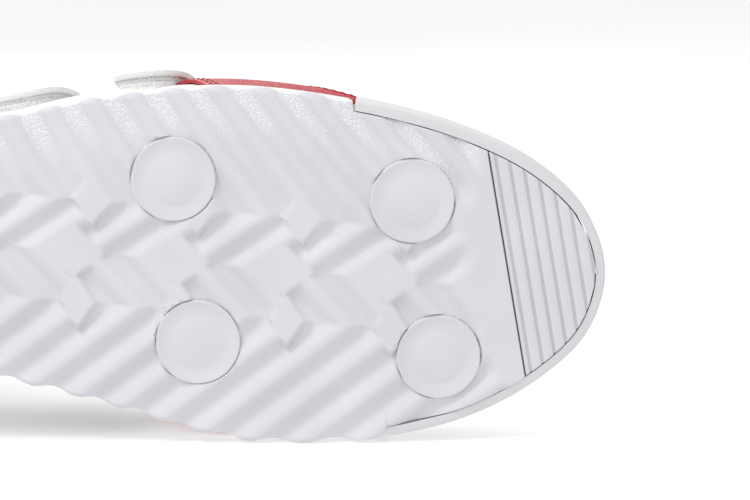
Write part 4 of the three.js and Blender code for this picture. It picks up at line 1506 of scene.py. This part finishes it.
def make_facing():
    """The edge piece round the throat."""
    place = partial(facing_at, inset=FACING_INSET)
    obj = sheet_piece("throat_facing_leather", 220, 12, place, FACING_THICKNESS)
    settle(obj, "shoe", "white_leather", material("white"), "throat_facing")
    lines = [row(facing_at, np.linspace(0.02, 0.98, 320), v, FACING_INSET) for v in (0.17, 0.83)]
    stitches("throat_facing_stitches", lines, "white_thread", "shoe", "white_leather")


def make_straps():
    """Each strap with its hook tape, loop tape and sewn anchor."""
    for place in STRAPS:
        body = "strap_" + place
        at = partial(strap_at, place)
        inner = partial(strap_at, place, margin=2.2)
        obj = sheet_piece(body + "_leather", 96, 20,
                          lambda u, v: at(STRAP_ROOT * u, v, STRAP_INSET), STRAP_THICKNESS, 0.5)
        settle(obj, body, "white_leather", material("white"), body)
        run = np.linspace(0.0, STRAP_ROOT - 0.01, 200)
        cross = np.linspace(0.0, 1.0, 40)
        short_cross = cross * 0.8 + 0.1
        lines = [row(inner, run, v, STRAP_INSET) for v in (0.0, 1.0)]
        lines += [row(inner, 0.0, cross, STRAP_INSET), row(at, 0.965, short_cross, STRAP_INSET)]
        stitches(body + "_stitches", lines, "white_thread", body, "white_leather")
        top = STRAPS[place][3]
        hook_place = partial(at, inset=HOOK_INSET, margin=0.9, cut_height=top - 1)
        hook = sheet_piece("hook_tape_" + place, 40, 20, hook_place, HOOK_THICKNESS, 0.2)
        settle(hook, body, "hook_and_loop", material("hook"), "hook_patch_" + place)
        loop_place = partial(at, inset=LOOP_INSET, margin=0.8, cut_height=top)
        loop = sheet_piece("loop_tape_" + place, 40, 20, loop_place, LOOP_THICKNESS, 0.2)
        settle(loop, "shoe", "hook_and_loop", material("loop"), "loop_patch_" + place)
        anchor = sheet_piece("strap_anchor_leather_" + place, 24, 20,
                             lambda u, v: at(ANCHOR_START + (1 - ANCHOR_START) * u, v, ANCHOR_INSET),
                             ANCHOR_THICKNESS, 0.3)
        settle(anchor, "shoe", "white_leather", material("white"), "strap_anchor_" + place)
        rows = [row(at, 0.9, short_cross, ANCHOR_INSET)]
        stitches("strap_root_stitches_" + place, rows, "white_thread", "shoe", "white_leather")


def pad_at(x, z):
    """Thickness of the foam behind the lining."""
    return 1.1 + 2.5 * smooth(58, 70, z) * (1 - smooth(74, 98, x))


def collar_lining_at(u, v):
    """The lining round the heel and the ankle: u from the lateral front round to the medial front."""
    def place(side, reach):
        share = reach * share_at(LINING_FRONT, side)
        turn = turned(np.interp(share, COLLAR_TABLE, LINING_TOPS[side]) * v, side)
        outer = skin(share, turn, 0)
        return skin(share, turn, STIFFENER_INSET + pad_at(outer[:, 0], outer[:, 2]) + GAP)
    return round_heel(u, place)


def toe_sheet_at(u, v, inset, rear_x, throat):
    """A layer of the toe: u from its rear edge to the tip, v from the lateral to the medial edge."""
    turn = math.pi * v
    rear = share_of(lambda p: p[..., 0] - rear_x, turn, inset, 0.3, 0.95)
    if throat:
        rear = clear_of_throat(rear, turn, inset)
    return skin(rear + (1 - rear) * u, turn, inset)


def counter_at(u, v):
    """The heel counter: round the heel, highest at the back."""
    foot = HEEL_BED + 0.4

    def place(side, reach):
        share = reach * share_at(COUNTER_FRONT, side)
        x = np.interp(share, SHARES, SIDES[side][:, 0])
        top = 56 - 25 * smooth(28, COUNTER_FRONT, x) ** 1.4
        return wall_point(share, side, foot + (top - foot) * v, STIFFENER_INSET)
    return round_heel(u, place)


COLLAR_ROLL = [(2.0, 16.0), (1.75, 9.0), (1.7, 3.0), (1.75, 0.2), (2.1, -1.1), (2.9, -2.0), (4.2, -2.3),
               (5.6, -1.9), (6.8, -0.8), (7.6, 1.0), (8.1, 4.0), (8.2, 8.0), (7.8, 12.0), (6.9, 15.5),
               (5.6, 17.0), (3.4, 17.2)]


def collar_roll_at(u, v):
    """The padded collar: a soft roll along the top edge, with faint puckers between its tack points."""
    count = len(COLLAR_ROLL)
    inward, down = np.array(COLLAR_ROLL)[np.round(v * count).astype(int) % count].T

    def place(side, reach):
        share = reach * share_at(COLLAR_FRONT, side)
        top_z = skin(share, turned(np.interp(share, COLLAR_TABLE, TOPS[side]), side), 0)[:, 2]
        ends = smooth(1.0, 0.93, reach)
        puff = 1 + 0.05 * np.cos(reach * 2 * math.pi * 11) * smooth(0.0, 6.0, down)
        inset = 1.7 + (inward - 1.7) * (0.35 + 0.65 * ends) * puff
        z = top_z - np.where(down < 0, down * (0.2 + 0.8 * ends), down)
        points = wall_point(share, side, z, inset)
        points[:, 2] = z
        return points
    return round_heel(u, place)


def make_linings():
    """The cloth behind the quarters and the vamp."""
    obj = sheet_piece("collar_lining_cloth", 260, 56, collar_lining_at, LINING_THICKNESS, 0.2)
    settle(obj, "shoe", "lining_cloth", material("lining"), "collar_lining")
    lining_place = partial(toe_sheet_at, inset=LINING_INSET, rear_x=VAMP_LINING_REAR, throat=True)
    obj = sheet_piece("vamp_lining_cloth", 70, 90, lining_place, LINING_THICKNESS, 0.2)
    settle(obj, "shoe", "lining_cloth", material("lining"), "vamp_lining")


def make_collar():
    """The padded roll along the collar."""
    obj = grid("collar_roll", 300, len(COLLAR_ROLL), collar_roll_at)
    weld(obj, 1e-6)
    cap_ends(obj)
    apply_modifier(obj, "SUBSURF", levels=1, render_levels=1)
    shade(obj, 80)
    settle(obj, "shoe", "padding", material("padding"), "collar_padding")


def make_stiffeners():
    """The heel counter and the toe puff."""
    obj = sheet_piece("heel_counter_board", 110, 20, counter_at, STIFFENER_THICKNESS, 0.2)
    settle(obj, "shoe", "stiffener", material("stiffener"), "heel_counter")
    puff_place = partial(toe_sheet_at, inset=STIFFENER_INSET, rear_x=PUFF_REAR, throat=False)
    obj = sheet_piece("toe_puff_board", 30, 60, puff_place, STIFFENER_THICKNESS, 0.2)
    settle(obj, "shoe", "stiffener", material("stiffener"), "toe_puff")


# ---- Tongue and footbed ----
TONGUE_TOP = 98.0
TONGUE_FRONT = 203.0
TONGUE_HALF = 21.0
TONGUE_CORNER = 14.0
TONGUE_BACK_INSET = 9.8
TONGUE_LEATHER = 1.1
TONGUE_FOAM = 3.7
TONGUE_CLOTH = 0.8


def tongue_at(u, v, inset, margin=0.0, crown=0.0):
    """The tongue in plan: u from its free top edge to its sewn front, v from lateral to medial."""
    x = TONGUE_TOP + margin + (TONGUE_FRONT - TONGUE_TOP - 2 * margin) * u
    back = np.clip((TONGUE_TOP + TONGUE_CORNER - x) / TONGUE_CORNER, 0, 1)
    half = TONGUE_HALF - TONGUE_CORNER * (1 - np.sqrt(np.clip(1 - back**2, 0, 1)))
    half = half - 4 * smooth(112, 203, x) - margin
    side = 2 * v - 1
    y = spine_y(x) + side * half
    points = plan_place(x, y, inset)
    swell = crown * (1 - side**2) * (0.4 + 0.6 * smooth(150, 112, x)) * smooth(TONGUE_TOP, TONGUE_TOP + 8, x)
    points[..., 2] += swell
    return points


def make_tongue():
    """The tongue's leather, its foam and its cloth back."""
    outer = partial(tongue_at, crown=1.0)
    obj = sheet_piece("tongue_outer_leather", 84, 48, partial(outer, inset=TONGUE_INSET), TONGUE_LEATHER, 0.4)
    settle(obj, "tongue", "white_leather", material("white"), "tongue_outer")
    lines = [beside(outer, edge_v, 2.4, TONGUE_INSET, across_u=False, low=0.05, high=0.6)
             for edge_v in (0, 1)]
    lines.append(beside(outer, 0, 2.6, TONGUE_INSET, low=0.08, high=0.92))
    stitches("tongue_stitches", lines, "white_thread", "tongue", "white_leather")
    pad_place = partial(tongue_at, inset=TONGUE_INSET + 1.25, margin=0.4, crown=0.9)
    pad = sheet_piece("tongue_foam_pad", 70, 40, pad_place, TONGUE_FOAM, 1.3)
    settle(pad, "tongue", "padding", material("foam"), "tongue_foam")
    back_place = partial(tongue_at, inset=TONGUE_BACK_INSET, margin=0.2, crown=0.6)
    back = sheet_piece("tongue_lining_cloth", 70, 40, back_place, TONGUE_CLOTH, 0.3)
    settle(back, "tongue", "lining_cloth", material("lining"), "tongue_lining")


INSOLE_INSET = 9.6
BOARD_TOP = 1.8


def make_insole():
    """A moulded footbed with a cupped heel, a raised arch and a cloth top."""
    def rows(x):
        low = bed(x) + BOARD_TOP + GAP
        top = low + 4
        cup = 1.2 * smooth(90, 20, x)
        return [(1, 0, low), (0.6, 0, low), (0, 0.6, low), (0, 0.1, low + 0.5), (0, 0, low + 1.4),
                (0, 0, top - 0.8 + cup), (0, 0.3, top - 0.2 + cup), (0, 1.0, top + cup),
                (0.12, 0, top - 0.2 + 0.5 * cup), (0.3, 0, top - 0.3), (0.6, 0, top - 0.35),
                (1, 0, top - 0.3)]
    obj = slab("insole_footbed", lambda x: INSOLE_INSET + 0 * x, rows, 300)
    return settle(obj, "insole", "insole_cloth", material("insole"), "insole")


def finish_kept_nodes():
    """The shank and the lasting board keep their shape and get their real surfaces."""
    for name, key in (("shank", "steel"), ("lasting_board", "board")):
        node = frame["nodes"][name]
        if not node.material_slots:
            node.data.materials.append(None)
        node.material_slots[0].material = material(key)


# ---- Sizes, colours and buttons ----
def a_size(label, value, note):
    """A length in the sidebar, given in millimetres."""
    return bpy.props.FloatProperty(name=label, description=note, default=value * MM, min=0.05 * MM,
                                   precision=5, subtype="DISTANCE", unit="LENGTH")


def a_colour(label, text, note):
    """A colour in the sidebar."""
    return bpy.props.FloatVectorProperty(name=label, description=note, default=hex_colour(text), size=4,
                                         min=0.0, max=1.0, subtype="COLOR")


class ShoeSizes(bpy.types.PropertyGroup):
    """Sizes a user may change"""
    ridge_depth: a_size("Ridge depth", 2.4, "Height of the tread's ridges")
    pod_dome: a_size("Pod dome", 0.8, "Rise of the domed disc on each pod")
    groove_width: a_size("Groove width", 0.8, "Width of the toe plate's grooves")
    groove_depth: a_size("Groove depth", 0.9, "Depth of the toe plate's grooves")
    stitch_length: a_size("Stitch length", 2.1, "Length of one stitch")
    stitch_pitch: a_size("Stitch pitch", 3.0, "Distance from stitch to stitch")
    stitch_width: a_size("Stitch width", 0.55, "Thickness of the thread")


class ShoeColours(bpy.types.PropertyGroup):
    """Colours a user may change"""
    rubber: a_colour("Sole rubber", "e2e1e7", "Tread, pods and toe plate")
    rim: a_colour("Rim rubber", "e2e2e5", "Toe bumper and heel band")
    midsole: a_colour("Midsole", "f1f1ef", "Foam layer above the outsole")
    white_leather: a_colour("White leather", "f1f1f0", "Vamp, lateral quarter, straps and facing")
    grey_leather: a_colour("Grey leather", "a4a5a9", "Medial quarter")
    red_leather: a_colour("Red leather", "cf2c3c", "Saddle panels and heel tab")
    lining: a_colour("Lining", "f0efec", "Linings and collar cloth")
    insole: a_colour("Insole", "b6b7bb", "Top cloth of the insole")
    tape: a_colour("Closure tape", "fafafa", "Hook and loop tapes")
    white_thread: a_colour("White thread", "f2f2ee", "Stitching on white and grey leather")
    red_thread: a_colour("Red thread", "8e1522", "Stitching on red leather")
    board: a_colour("Lasting board", "cbb894", "Fibre board under the insole")
    stiffener: a_colour("Stiffeners", "b9b2a2", "Heel counter and toe puff")
    foam: a_colour("Tongue foam", "ebe9e2", "Foam inside the tongue")


class BuildStage(bpy.types.Operator):
    """Set the white floor and wall, the lights and the camera"""
    bl_idname = "shoe.stage"
    bl_label = "Stage"

    def execute(self, context):
        make_stage()
        return {"FINISHED"}


class BuildOutsole(bpy.types.Operator):
    """Build the rubber tread with its ridges"""
    bl_idname = "shoe.outsole"
    bl_label = "Outsole"

    def execute(self, context):
        make_outsole()
        return {"FINISHED"}


class BuildPods(bpy.types.Operator):
    """Build the six round pods"""
    bl_idname = "shoe.pods"
    bl_label = "Pods"

    def execute(self, context):
        make_pods()
        return {"FINISHED"}


class BuildToePlate(bpy.types.Operator):
    """Build the grooved plate under the toe"""
    bl_idname = "shoe.toe_plate"
    bl_label = "Toe plate"

    def execute(self, context):
        make_toe_plate()
        return {"FINISHED"}


class BuildSoleRims(bpy.types.Operator):
    """Build the toe bumper and the heel band"""
    bl_idname = "shoe.sole_rims"
    bl_label = "Sole rims"

    def execute(self, context):
        make_toe_bumper()
        make_heel_foxing()
        return {"FINISHED"}


class BuildMidsole(bpy.types.Operator):
    """Build the foam layer"""
    bl_idname = "shoe.midsole"
    bl_label = "Midsole"

    def execute(self, context):
        make_midsole()
        return {"FINISHED"}


class BuildVamp(bpy.types.Operator):
    """Build the leather over the toes"""
    bl_idname = "shoe.vamp"
    bl_label = "Vamp"

    def execute(self, context):
        make_vamp()
        return {"FINISHED"}


class BuildQuarters(bpy.types.Operator):
    """Build the two side leathers"""
    bl_idname = "shoe.quarters"
    bl_label = "Quarters"

    def execute(self, context):
        make_quarters()
        return {"FINISHED"}


class BuildPanels(bpy.types.Operator):
    """Build the red panels on both sides"""
    bl_idname = "shoe.panels"
    bl_label = "Saddle panels"

    def execute(self, context):
        make_panels()
        return {"FINISHED"}


class BuildHeelTab(bpy.types.Operator):
    """Build the red tab at the back"""
    bl_idname = "shoe.heel_tab"
    bl_label = "Heel tab"

    def execute(self, context):
        make_heel_tab()
        return {"FINISHED"}


class BuildFacing(bpy.types.Operator):
    """Build the edge piece round the throat"""
    bl_idname = "shoe.facing"
    bl_label = "Facing"

    def execute(self, context):
        make_facing()
        return {"FINISHED"}


class BuildStraps(bpy.types.Operator):
    """Build the two straps, their tapes and their sewn roots"""
    bl_idname = "shoe.straps"
    bl_label = "Straps"

    def execute(self, context):
        make_straps()
        return {"FINISHED"}


class BuildLinings(bpy.types.Operator):
    """Build the collar lining and the vamp lining"""
    bl_idname = "shoe.linings"
    bl_label = "Linings"

    def execute(self, context):
        make_linings()
        return {"FINISHED"}


class BuildCollar(bpy.types.Operator):
    """Build the padding round the ankle"""
    bl_idname = "shoe.collar"
    bl_label = "Collar padding"

    def execute(self, context):
        make_collar()
        return {"FINISHED"}


class BuildStiffeners(bpy.types.Operator):
    """Build the heel counter and the toe puff"""
    bl_idname = "shoe.stiffeners"
    bl_label = "Stiffeners"

    def execute(self, context):
        make_stiffeners()
        return {"FINISHED"}


class BuildTongue(bpy.types.Operator):
    """Build the tongue's leather, foam and lining"""
    bl_idname = "shoe.tongue"
    bl_label = "Tongue"

    def execute(self, context):
        make_tongue()
        return {"FINISHED"}


class BuildInsole(bpy.types.Operator):
    """Build the loose insole"""
    bl_idname = "shoe.insole"
    bl_label = "Insole"

    def execute(self, context):
        make_insole()
        return {"FINISHED"}


class BuildInnerPieces(bpy.types.Operator):
    """Finish the shank and the lasting board"""
    bl_idname = "shoe.inner_pieces"
    bl_label = "Inner pieces"

    def execute(self, context):
        finish_kept_nodes()
        return {"FINISHED"}


PROPERTY_GROUPS = (ShoeSizes, ShoeColours)
OPERATORS = (
    BuildStage,
    BuildOutsole,
    BuildPods,
    BuildToePlate,
    BuildSoleRims,
    BuildMidsole,
    BuildVamp,
    BuildQuarters,
    BuildPanels,
    BuildHeelTab,
    BuildFacing,
    BuildStraps,
    BuildLinings,
    BuildCollar,
    BuildStiffeners,
    BuildTongue,
    BuildInsole,
    BuildInnerPieces,
)


class ShoePanel(bpy.types.Panel):
    """The shoe's sizes, colours and pieces"""
    bl_idname = "VIEW3D_PT_shoe"
    bl_label = "Shoe"
    bl_space_type = "VIEW_3D"
    bl_region_type = "UI"
    bl_category = "Shoe"

    def draw(self, context):
        column = self.layout.column()
        for values in (context.scene.shoe_sizes, context.scene.shoe_colours):
            for name in type(values).__annotations__:
                column.prop(values, name)
        for operator in OPERATORS:
            column.operator(operator.bl_idname)


def register():
    for kind in (*PROPERTY_GROUPS, *OPERATORS, ShoePanel):
        bpy.utils.register_class(kind)
    bpy.types.Scene.shoe_sizes = bpy.props.PointerProperty(type=ShoeSizes)
    bpy.types.Scene.shoe_colours = bpy.props.PointerProperty(type=ShoeColours)


def unregister():
    del bpy.types.Scene.shoe_colours
    del bpy.types.Scene.shoe_sizes
    for kind in reversed((*PROPERTY_GROUPS, *OPERATORS, ShoePanel)):
        bpy.utils.unregister_class(kind)


def main():
    register()
    bpy.ops.shoe.stage()
    bpy.ops.shoe.outsole()
    bpy.ops.shoe.pods()
    bpy.ops.shoe.toe_plate()
    bpy.ops.shoe.sole_rims()
    bpy.ops.shoe.midsole()
    bpy.ops.shoe.vamp()
    bpy.ops.shoe.quarters()
    bpy.ops.shoe.panels()
    bpy.ops.shoe.heel_tab()
    bpy.ops.shoe.facing()
    bpy.ops.shoe.straps()
    bpy.ops.shoe.linings()
    bpy.ops.shoe.collar()
    bpy.ops.shoe.stiffeners()
    bpy.ops.shoe.tongue()
    bpy.ops.shoe.insole()
    bpy.ops.shoe.inner_pieces()


if __name__ == "__main__":
    main()
